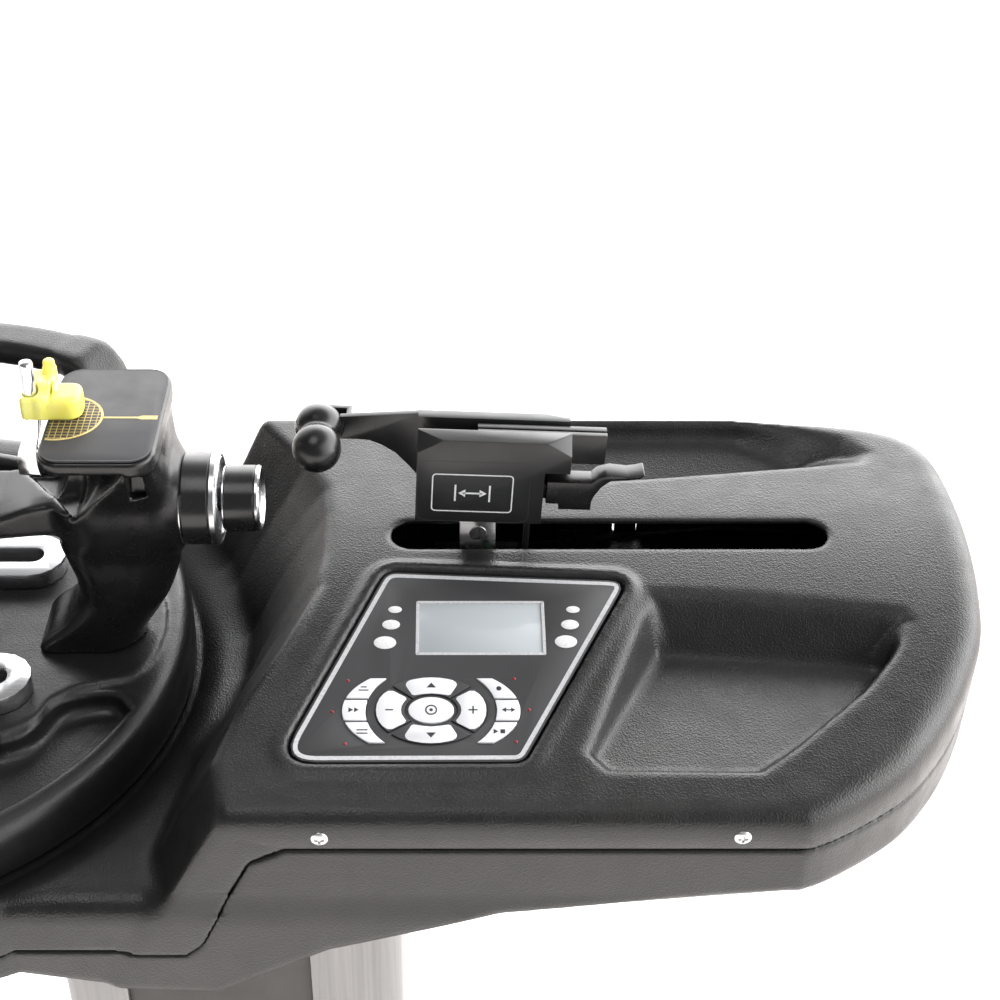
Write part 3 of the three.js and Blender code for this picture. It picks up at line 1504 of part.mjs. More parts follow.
// String guide: two balls with a waist between them
function buildGuide() {
  const half = ballSpacing / 2;
  const profile = [];
  const waistAngle = Math.asin(waistRadius / ballRadius);
  const steps = roundSteps / 2;
  for (let i = 0; i <= steps; i += 1) {
    const angle = (halfTurn - waistAngle) * (i / steps);
    profile.push([ballRadius * Math.sin(angle), half + ballRadius * Math.cos(angle)]);
  }
  const lower = profile.map(([r, z]) => [r, -z]).reverse();
  const closed = [...profile, ...lower];
  closed[0][0] = 0;
  closed[closed.length - 1][0] = 0;
  const boreEnd = half + ballRadius + overrun;
  const bore = rod('z', guideAxleRadius + seatGap, -half - runGap, boreEnd, 0, 0, cornerSteps * 3);
  return cut(turned(closed, roundSteps), bore).rotate([-90, 0, 0]).translate([ballX, 0, ballLevel]);
}

piece(head, 'string_guide', buildGuide(), castBlack);

// Jaws: two grooved bars in the head's channel
function jawBar(y0, y1, bottom, top) {
  return box(jawStart, jawEnd, y0, y1, bottom, top);
}

const jawBottom = headFloor + seatGap;
const jawFace = jawMouth / 2;
const frontJaw = join(
  jawBar(-jawFrontThickness - jawFace, -jawFace, jawBottom, jawTop),
  box(jawBlockStart, jawEnd, -jawFrontThickness - jawFace, -jawFace, jawBlockBottom, jawTop),
);
piece(head, 'front_jaw', frontJaw, anodised);
const rearJaw = join(
  jawBar(jawFace, jawFace + jawRearThickness, jawBottom, jawTop + seatGap),
  box(jawBlockStart, jawEnd, jawFace, jawFace + jawRearThickness, jawBlockBottom, jawTop),
);
piece(head, 'rear_jaw', rearJaw, anodised);

// Trigger: a block on a pin with a curled finger blade
function buildTrigger() {
  const block = sideways([
    [triggerLeft, triggerBottom + triggerNotchRise],
    [triggerLeft + triggerNotchLength, triggerBottom + triggerNotchRise],
    [triggerLeft + triggerNotchLength, triggerBottom], [triggerRight, triggerBottom],
    [triggerRight, triggerTop], [triggerLeft, triggerTop],
  ], triggerFront, triggerRear);
  const run = bladeTip - triggerRight;
  const blade = sideways([
    [triggerRight - runGap, triggerBottom + triggerNotchRise],
    ...[...bladeUnderShares].reverse().map(([along, up]) => [triggerRight + run * along, bladeTop * up]),
    ...[...bladeTopShares].reverse().map(([along, up]) => [triggerRight + run * along, bladeTop * up]),
    [triggerRight - runGap, triggerTop],
  ], triggerFront, triggerRear);
  const lugY = (triggerFront + triggerRear) / 2;
  const lugHalf = triggerLugWidth / 2;
  const lug = box(
    triggerPivotX - triggerLugHeight / 2, triggerLeft + overrun, lugY - lugHalf, lugY + lugHalf,
    triggerPivotLevel - triggerLugHeight / 2, triggerPivotLevel + triggerLugHeight / 2,
  );
  const pin = rod(
    'y', triggerPinRadius, lugY - lugHalf - triggerPinReach, lugY + lugHalf + triggerPinReach,
    triggerPivotX, triggerPivotLevel, cornerSteps * 3,
  );
  return join(block, blade, lug, pin);
}

piece(head, 'trigger', buildTrigger(), castBlack);

// The origin goes to the floor under the middle of the deck
const deckLeft = platformX - platformRadius;
const deckBack = platformY + platformRadius;
const deckFront = platformY - platformRadius;
machine.position.set(-(deckLeft + noseEndX) / 2, -(deckFront + deckBack) / 2, 0);

export default machine;
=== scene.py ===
import contextlib
import functools
import json
import math

import bmesh
import bpy
import numpy as np
from mathutils import Matrix, Vector

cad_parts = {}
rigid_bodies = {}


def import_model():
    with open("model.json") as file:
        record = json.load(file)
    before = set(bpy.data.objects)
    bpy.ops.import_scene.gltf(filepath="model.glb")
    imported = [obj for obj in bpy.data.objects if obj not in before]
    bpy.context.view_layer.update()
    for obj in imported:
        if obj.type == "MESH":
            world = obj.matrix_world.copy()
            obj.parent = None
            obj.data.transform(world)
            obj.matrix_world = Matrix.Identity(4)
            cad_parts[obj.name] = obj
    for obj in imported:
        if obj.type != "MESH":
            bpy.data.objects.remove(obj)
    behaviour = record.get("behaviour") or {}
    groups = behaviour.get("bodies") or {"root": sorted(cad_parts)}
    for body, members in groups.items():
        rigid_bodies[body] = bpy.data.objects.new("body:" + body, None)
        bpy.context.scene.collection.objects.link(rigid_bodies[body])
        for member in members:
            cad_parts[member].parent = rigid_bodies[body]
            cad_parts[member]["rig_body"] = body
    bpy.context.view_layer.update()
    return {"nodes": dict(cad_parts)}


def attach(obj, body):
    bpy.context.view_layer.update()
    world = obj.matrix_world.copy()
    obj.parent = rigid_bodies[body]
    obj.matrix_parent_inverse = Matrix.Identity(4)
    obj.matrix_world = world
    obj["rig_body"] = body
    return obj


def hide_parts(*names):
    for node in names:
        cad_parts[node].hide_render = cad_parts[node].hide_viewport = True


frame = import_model()
nodes = frame["nodes"]
scene = bpy.context.scene

# Places: deck coordinates are millimetres from the column's centre line and the deck's flat top
MM = 0.001
DECK_PLACE = (11.0, -10.0, 1000.0)
TABLE_X, TABLE_Y = -232.0, -4.0
LINE_Y = -4.0
SLOPE_START, SLOPE = -35.0, math.radians(12)
HEAD_PLACE, HEAD_LEAN = (165, LINE_Y, 29), math.radians(2.3)
DECK = Matrix.Scale(MM, 4) @ Matrix.Translation(DECK_PLACE)
SLOPE_PLANE = DECK @ Matrix.Translation((0, SLOPE_START, 0)) @ Matrix.Rotation(SLOPE, 4, "X")
HEAD = DECK @ Matrix.Translation(HEAD_PLACE) @ Matrix.Rotation(HEAD_LEAN, 4, "Y")
TABLE = DECK @ Matrix.Translation((TABLE_X, TABLE_Y, 0))
SIDES = {"right": TABLE, "left": TABLE @ Matrix.Rotation(math.pi, 4, "Z")}
FINE = 1.0

# Camera, fitted to the photograph's round outlines
CAMERA_PLACE, CAMERA_PITCH = (145, -835, 644), 36.7
LENS, SENSOR, SIDE_SHIFT = 61.2, 36, 0.055
NEAREST, FARTHEST = 0.01, 40


def placed(name, data):
    thing = bpy.data.objects.new(name, data)
    scene.collection.objects.link(thing)
    return thing


camera_data = bpy.data.cameras.new("camera")
camera = placed("camera", camera_data)
camera.location = DECK @ Vector(CAMERA_PLACE)
camera.rotation_euler = (math.radians(90 - CAMERA_PITCH), 0, 0)
camera_data.sensor_width = SENSOR
camera_data.lens = LENS
camera_data.shift_x = SIDE_SHIFT
camera_data.clip_start = NEAREST
camera_data.clip_end = FARTHEST
scene.camera = camera


# Materials

class Graph:
    """A tree of shader nodes whose sockets each get a value or another node's output"""

    def __init__(self, tree):
        self.tree = tree

    def feed(self, node, key, value):
        if isinstance(value, bpy.types.NodeSocket):
            self.tree.links.new(value, node.inputs[key])
        else:
            node.inputs[key].default_value = value

    def add(self, kind, sockets=None, **settings):
        node = self.tree.nodes.new("ShaderNode" + kind)
        for key, value in settings.items():
            setattr(node, key, value)
        for key, value in (sockets or {}).items():
            self.feed(node, key, value)
        return node

    def ranged(self, value, low, high, to_low, to_high):
        sockets = {"Value": value, "From Min": low, "From Max": high, "To Min": to_low, "To Max": to_high}
        return self.add("MapRange", sockets).outputs["Result"]

    def larger(self, one, other):
        return self.add("Math", {0: one, 1: other}, operation="MAXIMUM").outputs[0]


class Finish(Graph):
    """A node material on object coordinates, in metres"""

    def __init__(self, name, colour, roughness, metallic=0.0, specular=0.5):
        self.material = bpy.data.materials.new(name)
        self.material.use_nodes = True
        super().__init__(self.material.node_tree)
        self.shader = self.tree.nodes["Principled BSDF"]
        self.colour = (*colour, 1)
        self.height = None
        self.where = self.add("TexCoord").outputs["Object"]
        self.set({"Base Color": self.colour, "Roughness": roughness, "Metallic": metallic})
        self.set({"Specular IOR Level": specular})

    def set(self, sockets):
        for key, value in sockets.items():
            self.feed(self.shader, key, value)

    def pattern(self, scale, detail=3.0, stretch=None):
        """A grey pattern of about the given number of features a metre"""
        where = self.where
        if stretch:
            where = self.add("Mapping", {"Scale": stretch, "Vector": where}).outputs["Vector"]
        sockets = {"Scale": scale, "Detail": detail, "Roughness": 0.55, "Vector": where}
        return self.add("TexNoise", sockets).outputs["Fac"]

    def cells(self, scale):
        sockets = {"Scale": scale, "Smoothness": 0.6, "Vector": self.where}
        return self.add("TexVoronoi", sockets, feature="SMOOTH_F1").outputs["Distance"]

    def tint(self, value, low, high, other):
        """Blends the base colour towards another where a pattern is high"""
        share = self.ranged(value, low, high, 0, 1)
        mix = self.add("Mix", {0: share, 6: self.colour, 7: (*other, 1)}, data_type="RGBA")
        self.set({"Base Color": mix.outputs[2]})
        return self

    def vary_roughness(self, value, least, most):
        self.set({"Roughness": self.ranged(value, 0.3, 0.7, least, most)})
        return self

    def bump(self, value, strength, depth):
        sockets = {"Strength": strength, "Distance": depth, "Height": value}
        if self.height:
            sockets["Normal"] = self.height
        self.height = self.add("Bump", sockets).outputs["Normal"]
        self.set({"Normal": self.height})
        return self


def grained(name, colour, other, roughness, grain, depth, strength):
    """Moulded plastic with a pebble grain"""
    look = Finish(name, colour, roughness)
    look.tint(look.pattern(9.0, 2.0), 0.35, 0.7, other)
    look.bump(look.cells(grain), strength, depth)
    look.bump(look.pattern(grain * 2.3, 2.0), 0.25, depth * 0.5)
    look.vary_roughness(look.pattern(60.0, 3.0), roughness - 0.05, roughness + 0.07)
    return look.material


def satin(name, colour, other, roughness, metallic, scale, depth, specular=0.5):
    """Painted or cast surface with a fine skin"""
    look = Finish(name, colour, roughness, metallic, specular)
    look.tint(look.pattern(14.0, 3.0), 0.35, 0.7, other)
    look.bump(look.pattern(scale, 3.0), 0.35, depth)
    look.vary_roughness(look.pattern(45.0, 4.0), roughness - 0.06, roughness + 0.08)
    return look.material


def brushed(name, colour, other, roughness, stretch, scale=900.0, metallic=1.0):
    """Metal with straight brush marks, long along the axis of the small stretch value"""
    look = Finish(name, colour, roughness, metallic)
    lines = look.pattern(scale, 3.0, stretch)
    look.tint(lines, 0.3, 0.75, other)
    look.bump(lines, 0.12, 0.00004)
    look.vary_roughness(look.pattern(70.0, 3.0, stretch), roughness - 0.08, roughness + 0.1)
    return look.material


def printed(name, colour, other, roughness=0.45, metallic=0.0):
    """Print ink, slightly uneven"""
    look = Finish(name, colour, roughness, metallic)
    look.tint(look.pattern(600.0, 2.0), 0.4, 0.7, other)
    look.bump(look.pattern(2500.0, 2.0), 0.15, 0.00002)
    return look.material


# Each look has a name, a colour, the colour it drifts to, a roughness and then its own texture values
LOOKS = {
    "shell": grained(
        "shell_black", (0.0085, 0.0085, 0.009), (0.012, 0.0115, 0.011), 0.36, 900.0, 0.00024, 0.85,
    ),
    "table": grained("table_black", (0.007, 0.007, 0.008), (0.011, 0.011, 0.012), 0.38, 820.0, 0.0002, 0.6),
    "cast": satin("cast_black", (0.0055, 0.0055, 0.006), (0.009, 0.009, 0.0095), 0.27, 0.0, 700.0, 0.00008),
    "anodised": satin(
        "anodised_black", (0.008, 0.008, 0.0085), (0.012, 0.012, 0.0125), 0.34, 0.0, 2600.0, 0.00003, 0.6,
    ),
    "plate": satin(
        "plate_grey", (0.034, 0.033, 0.036), (0.044, 0.043, 0.046), 0.5, 0.0, 1900.0, 0.0001, 0.3,
    ),
    "panel": satin("panel_grey", (0.036, 0.036, 0.038), (0.043, 0.043, 0.045), 0.5, 0.0, 2200.0, 0.00004),
    "key": satin("key_grey", (0.8, 0.8, 0.82), (0.74, 0.74, 0.77), 0.42, 0.0, 2000.0, 0.00003),
    "print_dark": printed("print_dark", (0.02, 0.02, 0.022), (0.04, 0.04, 0.042)),
    "print_silver": printed("print_silver", (0.66, 0.66, 0.67), (0.55, 0.55, 0.57), 0.35, 0.25),
    "print_white": printed("print_white", (0.78, 0.78, 0.78), (0.68, 0.68, 0.69)),
    "print_gold": printed("print_gold", (0.56, 0.43, 0.16), (0.42, 0.31, 0.1), 0.38, 0.2),
    "lamp_red": printed("lamp_red", (0.28, 0.012, 0.018), (0.18, 0.01, 0.012), 0.25),
    "steel": brushed("steel_brushed", (0.62, 0.62, 0.63), (0.46, 0.46, 0.47), 0.28, (0.06, 1.0, 1.0)),
    "turned": brushed("steel_turned", (0.72, 0.72, 0.73), (0.55, 0.55, 0.56), 0.2, (1.0, 0.08, 0.08)),
    "screw": brushed("screw_zinc", (0.7, 0.7, 0.7), (0.5, 0.5, 0.5), 0.25, (1.0, 1.0, 0.3), 1500.0),
    "chrome": satin("chrome_bright", (0.78, 0.78, 0.79), (0.66, 0.66, 0.68), 0.09, 1.0, 400.0, 0.00003),
    "alloy": brushed(
        "alloy_column", (0.27, 0.27, 0.268), (0.22, 0.22, 0.22), 0.42, (1.0, 1.0, 0.02), 500.0, 0.85,
    ),
    "zinc": brushed("zinc_plated", (0.42, 0.43, 0.44), (0.3, 0.31, 0.32), 0.38, (0.2, 1.0, 1.0), 300.0),
    "rubber": satin("rubber_black", (0.016, 0.016, 0.016), (0.03, 0.03, 0.03), 0.8, 0.0, 500.0, 0.00012, 0.3),
    "board": satin("board_green", (0.02, 0.11, 0.04), (0.03, 0.16, 0.06), 0.42, 0.0, 300.0, 0.00006),
    "stand": satin("stand_black", (0.022, 0.022, 0.024), (0.032, 0.032, 0.034), 0.45, 0.2, 1500.0, 0.00012),
    "cover": satin("cover_grey", (0.05, 0.047, 0.044), (0.062, 0.058, 0.055), 0.5, 0.0, 1200.0, 0.00008),
    "gloss": satin("plastic_black", (0.01, 0.01, 0.011), (0.016, 0.016, 0.017), 0.26, 0.0, 900.0, 0.00005),
}


def yellow_plastic():
    look = Finish("support_yellow", (0.95, 0.83, 0.1), 0.34)
    look.tint(look.pattern(35.0, 3.0), 0.35, 0.75, (0.98, 0.9, 0.26))
    look.bump(look.pattern(420.0, 3.0), 0.3, 0.0001)
    look.set({"Subsurface Weight": 0.55, "Subsurface Radius": (0.006, 0.004, 0.001), "Subsurface Scale": 0.9})
    look.set({"Coat Weight": 0.15})
    return look.material


def display_glass():
    look = Finish("display_grey", (0.4, 0.43, 0.45), 0.16)
    look.tint(look.pattern(11.0, 2.0), 0.3, 0.8, (0.46, 0.49, 0.51))
    look.bump(look.pattern(3200.0, 1.0), 0.05, 0.00002)
    look.set({"Coat Weight": 0.6})
    return look.material


LOOKS["yellow"] = yellow_plastic()
LOOKS["display"] = display_glass()


# Mesh tools, all in millimetres

def add_piece(name, mesh, body, look, place=DECK, replaced=()):
    mesh.transform(place)
    if place.determinant() < 0:
        mesh.flip_normals()
    thing = placed(name, mesh)
    mesh.materials.clear()
    mesh.materials.append(LOOKS[look])
    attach(thing, body)
    if replaced:
        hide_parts(*replaced)


def mesh_of(vertices, faces):
    mesh = bpy.data.meshes.new("mesh")
    mesh.from_pydata(vertices, [], faces)
    return mesh


@contextlib.contextmanager
def opened(mesh):
    """The mesh as editable geometry, written back at the end"""
    shape = bmesh.new()
    shape.from_mesh(mesh)
    yield shape
    shape.to_mesh(mesh)
    shape.free()


def shaded(mesh, angle=35.0):
    """Smooth shading that keeps edges sharper than the angle, in degrees"""
    mesh.shade_smooth()
    with opened(mesh) as shape:
        for edge in shape.edges:
            edge.smooth = len(edge.link_faces) != 2 or edge.calc_face_angle(0) < math.radians(angle)
    return mesh


def bevelled(mesh, width, steps=2, angle=30.0):
    """Rounds the edges sharper than the angle"""
    least = math.radians(angle)
    with opened(mesh) as shape:
        sharp = [e for e in shape.edges if len(e.link_faces) == 2 and e.calc_face_angle(0) > least]
        bmesh.ops.bevel(
            shape, geom=sharp, offset=width, offset_type="OFFSET", segments=steps, profile=0.5,
            affect="EDGES", clamp_overlap=True,
        )
    return shaded(mesh, 40.0)


def arc(cx, cy, rx, ry, start, end, steps):
    angles = [math.radians(start + (end - start) * i / steps) for i in range(steps + 1)]
    return [(cx + rx * math.cos(a), cy + ry * math.sin(a)) for a in angles]


def round_box(x0, x1, y0, y1, radius, steps=8):
    return (
        arc(x1 - radius, y1 - radius, radius, radius, 0, 90, steps)
        + arc(x0 + radius, y1 - radius, radius, radius, 90, 180, steps)
        + arc(x0 + radius, y0 + radius, radius, radius, 180, 270, steps)
        + arc(x1 - radius, y0 + radius, radius, radius, 270, 360, steps)
    )


def rounded(points, radii, steps=8):
    """Rounds the corners of an outline, each by its own radius"""
    result = []
    count = len(points)
    for i, point in enumerate(points):
        corner = Vector(point)
        back = (Vector(points[i - 1]) - corner).normalized()
        ahead = (Vector(points[(i + 1) % count]) - corner).normalized()
        reach = radii[i] / math.tan(back.angle(ahead) / 2)
        start, end = corner + back * reach, corner + ahead * reach
        for k in range(steps + 1):
            t = k / steps
            result.append(tuple(start * (1 - t) ** 2 + corner * (2 * t * (1 - t)) + end * t * t))
    return result


def grow(points, distance):
    """Moves each side of a counter-clockwise outline outward"""
    result = []
    count = len(points)
    for i, (x, y) in enumerate(points):
        px, py = points[i - 1]
        nx, ny = points[(i + 1) % count]
        before = Vector((y - py, px - x)).normalized()
        after = Vector((ny - y, x - nx)).normalized()
        middle = (before + after).normalized()
        reach = distance / max(middle.dot(before), 0.7)
        result.append((x + middle.x * reach, y + middle.y * reach))
    return result


def slab(outline, low, high, bevel=0.0, steps=2):
    """An outline raised between two levels"""
    count = len(outline)
    bottom = [(x, y, low) for x, y in outline]
    top = [(x, y, high) for x, y in outline]
    faces = [tuple(reversed(range(count))), tuple(range(count, 2 * count))]
    faces += [(i, (i + 1) % count, (i + 1) % count + count, i + count) for i in range(count)]
    mesh = mesh_of(bottom + top, faces)
    return bevelled(mesh, bevel, steps) if bevel else shaded(mesh)


def bar(x, y, width, height):
    return [(x - width / 2, y - height / 2), (x + width / 2, y - height / 2),
            (x + width / 2, y + height / 2), (x - width / 2, y + height / 2)]


def ribbon(outline, inner, outer, low, high):
    """A closed band between two outlines grown from one, raised between two levels"""
    inside, outside = grow(outline, inner), grow(outline, outer)
    count = len(outline)
    corners = ((inside, low), (outside, low), (outside, high), (inside, high))
    rings = [[(x, y, z) for x, y in ring] for ring, z in corners]
    faces = []
    for ring in range(4):
        for i in range(count):
            a, b = ring * count + i, ring * count + (i + 1) % count
            c, d = ((ring + 1) % 4) * count + (i + 1) % count, ((ring + 1) % 4) * count + i
            faces.append((a, b, c, d))
    return shaded(mesh_of([v for ring in rings for v in ring], faces))


def spun(profile, steps=72, axis="z"):
    """A profile of (radius, height) turned about an axis through the origin"""
    count = len(profile)
    vertices, faces = [], []
    for i in range(steps):
        angle = 2 * math.pi * i / steps
        for radius, height in profile:
            vertices.append((radius * math.cos(angle), radius * math.sin(angle), height))
    for i in range(steps):
        for k in range(count - 1):
            a, b = i * count + k, ((i + 1) % steps) * count + k
            faces.append((a, b, b + 1, a + 1))
    mesh = mesh_of(vertices, faces)
    with opened(mesh) as shape:
        bmesh.ops.remove_doubles(shape, verts=shape.verts, dist=1e-4)
        bmesh.ops.dissolve_degenerate(shape, edges=shape.edges, dist=1e-4)
        bmesh.ops.recalc_face_normals(shape, faces=shape.faces)
    if axis == "x":
        mesh.transform(Matrix.Rotation(math.pi / 2, 4, "Y"))
    if axis == "y":
        mesh.transform(Matrix.Rotation(-math.pi / 2, 4, "X"))
    return shaded(mesh)


def joined(*meshes):
    shape = bmesh.new()
    for mesh in meshes:
        shape.from_mesh(mesh)
    whole = bpy.data.meshes.new("joined")
    shape.to_mesh(whole)
    shape.free()
    return whole


def shifted(mesh, x=0.0, y=0.0, z=0.0):
    mesh.transform(Matrix.Translation((x, y, z)))
    return mesh


WELD, FLAT_ANGLE = 2e-6, math.radians(1.0)


def softened(node, look, width):
    """A copy of a CAD node with rounded edges, which stands for it"""
    mesh = nodes[node].data.copy()
    with opened(mesh) as shape:
        bmesh.ops.remove_doubles(shape, verts=shape.verts, dist=WELD)
        bmesh.ops.dissolve_limit(shape, angle_limit=FLAT_ANGLE, verts=shape.verts, edges=shape.edges)
    mesh = bevelled(mesh, width * MM)
    add_piece(node + "_finished", mesh, nodes[node]["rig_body"], look, Matrix.Identity(4), (node,))


# Signed distances, negative inside

def smax(a, b, blend):
    """The larger of two distances with a rounded meeting line"""
    near = np.maximum(blend - np.abs(a - b), 0.0) / blend
    return np.maximum(a, b) + near * near * blend * 0.25


def smin(a, b, blend):
    return -smax(-a, -b, blend)


def shared(*fields):
    """The room inside every field, with sharp meeting lines"""
    return functools.reduce(np.maximum, fields)


def along(value, table):
    """The table's value at a place, on straight lines between its rows of (place, value)"""
    places, values = zip(*table)
    return np.interp(value, places, values)


def span(value, low, high):
    return np.abs(value - (low + high) / 2) - (high - low) / 2


def away(x, y, cx=0, cy=0):
    """The distance from an axis"""
    return np.sqrt((x - cx) ** 2 + (y - cy) ** 2)


def outline_distance(points, x, y):
    best = np.full(np.broadcast(x, y).shape, 1e12)
    inside = np.zeros(best.shape, bool)
    for (ax, ay), (bx, by) in zip(points, points[1:] + points[:1]):
        ex, ey = bx - ax, by - ay
        along = np.clip(((x - ax) * ex + (y - ay) * ey) / (ex * ex + ey * ey + 1e-12), 0, 1)
        best = np.minimum(best, (x - ax - along * ex) ** 2 + (y - ay - along * ey) ** 2)
        if abs(ey) > 1e-12:
            inside ^= ((ay > y) != (by > y)) & (x < ex * (y - ay) / ey + ax)
    return np.where(inside, -1.0, 1.0) * np.sqrt(best)


def box_distance(x, y, x0, x1, y0, y1, radius):
    dx, dy = span(x, x0, x1) + radius, span(y, y0, y1) + radius
    outside = np.sqrt(np.maximum(dx, 0) ** 2 + np.maximum(dy, 0) ** 2)
    return outside + np.minimum(np.maximum(dx, dy), 0) - radius


def grid(low, high, step):
    axes = [np.arange(a, b + step, step, dtype=np.float32) for a, b in zip(low, high)]
    return axes[0][:, None, None], axes[1][None, :, None], axes[2][None, None, :]


def net(values, low, step, keep=1.0):
    """The zero surface of a sampled field, with one vertex in each cell that it crosses"""
    inside = values < 0
    size = np.array(values.shape) - 1
    corners = [(i, j, k) for i in (0, 1) for j in (0, 1) for k in (0, 1)]
    count = sum(
        inside[i:size[0] + i, j:size[1] + j, k:size[2] + k].astype(np.uint8) for i, j, k in corners
    )
    cells = (count > 0) & (count < 8)
    where = np.argwhere(cells)
    number = np.full(cells.shape, -1, np.int64)
    number[cells] = np.arange(len(where))
    total = np.zeros((len(where), 3))
    hits = np.zeros(len(where))
    samples = {c: values[where[:, 0] + c[0], where[:, 1] + c[1], where[:, 2] + c[2]] for c in corners}
    for start in corners:
        for axis in range(3):
            if start[axis]:
                continue
            end = tuple(1 if i == axis else v for i, v in enumerate(start))
            a, b = samples[start], samples[end]
            crossed = (a < 0) != (b < 0)
            share = np.where(crossed, a / np.where(crossed, a - b, 1), 0)
            for i in range(3):
                total[:, i] += np.where(crossed, share if i == axis else start[i], 0)
            hits += crossed
    place = np.array(low) + step * (where + total / hits[:, None])
    quads = []
    for axis in range(3):
        u, v = (axis + 1) % 3, (axis + 2) % 3
        first = [slice(1, size[i]) if i in (u, v) else slice(0, size[i]) for i in range(3)]
        second = [slice(s.start + 1, s.stop + 1) if i == axis else s for i, s in enumerate(first)]
        one, other = inside[tuple(first)], inside[tuple(second)]
        crossing = np.argwhere(one != other)
        outward = one[tuple(crossing.T)]
        base = crossing + [s.start for s in first]
        around = []
        for du, dv in ((1, 1), (0, 1), (0, 0), (1, 0)):
            cell = base.copy()
            cell[:, u] -= du
            cell[:, v] -= dv
            around.append(number[tuple(cell.T)])
        quad = np.stack(around, axis=1)
        quad[~outward] = quad[~outward][:, ::-1]
        quads.append(quad)
    faces = np.concatenate(quads)
    mesh = bpy.data.meshes.new("moulded")
    mesh.vertices.add(len(place))
    mesh.vertices.foreach_set("co", place.astype(np.float32).ravel())
    mesh.loops.add(faces.size)
    mesh.loops.foreach_set("vertex_index", faces.astype(np.int32).ravel())
    mesh.polygons.add(len(faces))
    mesh.polygons.foreach_set("loop_start", np.arange(0, faces.size, 4, dtype=np.int32))
    mesh.update(calc_edges=True)
    mesh.validate()
    if keep < 1:
        carrier = placed("carrier", mesh)
        modifier = carrier.modifiers.new("thin", "DECIMATE")
        modifier.ratio = keep
        thin = carrier.evaluated_get(bpy.context.evaluated_depsgraph_get())
        mesh = bpy.data.meshes.new_from_object(thin)
        bpy.data.objects.remove(carrier)
    mesh.shade_smooth()
    return mesh


def moulded(field, low, high, step, keep=1.0):
    low = [v - 2 * step for v in low]
    high = [v + 2 * step for v in high]
    return net(field(*grid(low, high, step)), low, step, keep)


# Deck, one moulding field cut along the seam into a top and a bottom shell
NOSE = [
    (0.044, 0), (0.17, 0.022), (0.39, 0.079), (0.55, 0.136), (0.72, 0.226), (0.848, 0.32), (0.93, 0.401),
    (0.974, 0.507), (0.995, 0.613), (1, 0.718), (0.985, 0.824), (0.931, 0.896), (0.828, 0.942), (0.7, 0.965),
    (0.545, 0.98), (0.28, 0.99), (0.036, 1),
]
NOSE_START, NOSE_END, FRONT_Y, REAR_Y = 336, 473, -208, 123.5
PLATFORM = (-238, 10, 257)
PLATFORM_LEVEL, WELL_LEVEL = -108, -120
PANEL = rounded(
    [(54.9, -139.4), (187.6, -138.8), (252, -14), (110.6, -7.2)], (13, 8, 6, 9)
)


def smooth_line(points, steps=4):
    """A denser line through the points of an open outline"""
    result = []
    count = len(points)
    for i in range(count - 1):
        p0, p1, p2, p3 = (points[max(0, min(count - 1, i + k))] for k in (-1, 0, 1, 2))
        for k in range(steps):
            t = k / steps
            result.append(tuple(
                0.5 * (2 * b + (c - a) * t + (2 * a - 5 * b + 4 * c - d) * t ** 2
                       + (3 * (b - c) + d - a) * t ** 3)
                for a, b, c, d in zip(p0, p1, p2, p3)
            ))
    return result + [points[-1]]


def deck_outline():
    nose = smooth_line([
        (NOSE_START + (NOSE_END - NOSE_START) * a, FRONT_Y + (REAR_Y - FRONT_Y) * b) for a, b in NOSE
    ])
    cx, cy, radius = PLATFORM
    rear = math.degrees(math.asin((REAR_Y - cy) / radius))
    front = 360 + math.degrees(math.asin((FRONT_Y - cy) / radius))
    return nose + arc(cx, cy, radius, radius, rear, front, 90)


def tray(x, y, z, top, base, floor, blend):
    """A tray's hollow between its rim outline at the deck top and its base outline at the floor"""
    share = np.clip((z - floor) / (0 - floor), 0, 1.4)
    rim, foot = outline_distance(top, x, y), outline_distance(base, x, y)
    wall = (foot + (rim - foot) * share) * 0.85
    return smax(wall, floor - z, blend)


BELLY_LEVEL = (
    (-500, -162), (-118, -166), (-48, -180), (14, -183), (79, -145), (176, -114.5), (336, -97.5),
)
BELLY_STEEPNESS = ((-60, 1), (10, 1), (18, 0.86), (75, 0.86), (85, 0.94), (170, 0.94), (180, 1))
TOP_ROUNDING, FLANK_ROUNDING, PLATFORM_ROUNDING, BELLY_ROUNDING = 14, 16, 18, 7
RIM_ROUNDING, REAR_RIM_SHARE = ((150, 11), (330, 12), (420, 20)), ((60, 1), (110, 0.6))

# The flank is a steep face over its foot line under a shallow face below its crease line
FLANK_FOOT = (
    (-232, -20), (-208, -17), (-172, -22), (-142, -16), (-93, -5.5), (-54, 10.5), (-21, 17), (18, 15),
    (70, -2), (118, -27), (175, -43),
)
FLANK_CREASE = (
    (-208, 25), (-172, 14), (-142, 25.8), (-115, 40.7), (-95, 52), (-66, 65), (-48, 73), (-21, 74),
    (18, 73), (42, 70), (70, 56), (118, 18), (175, 6),
)
FLANK_LEAN, FOOT_LEAN = ((-208, 0.57), (-172, 0.66), (-142, 0.8), (42, 0.8), (90, 0.5)), 0.42
FOOT_STEEPNESS = 0.92
WELL_RADIUS, WELL_SLOPE = 246, 30

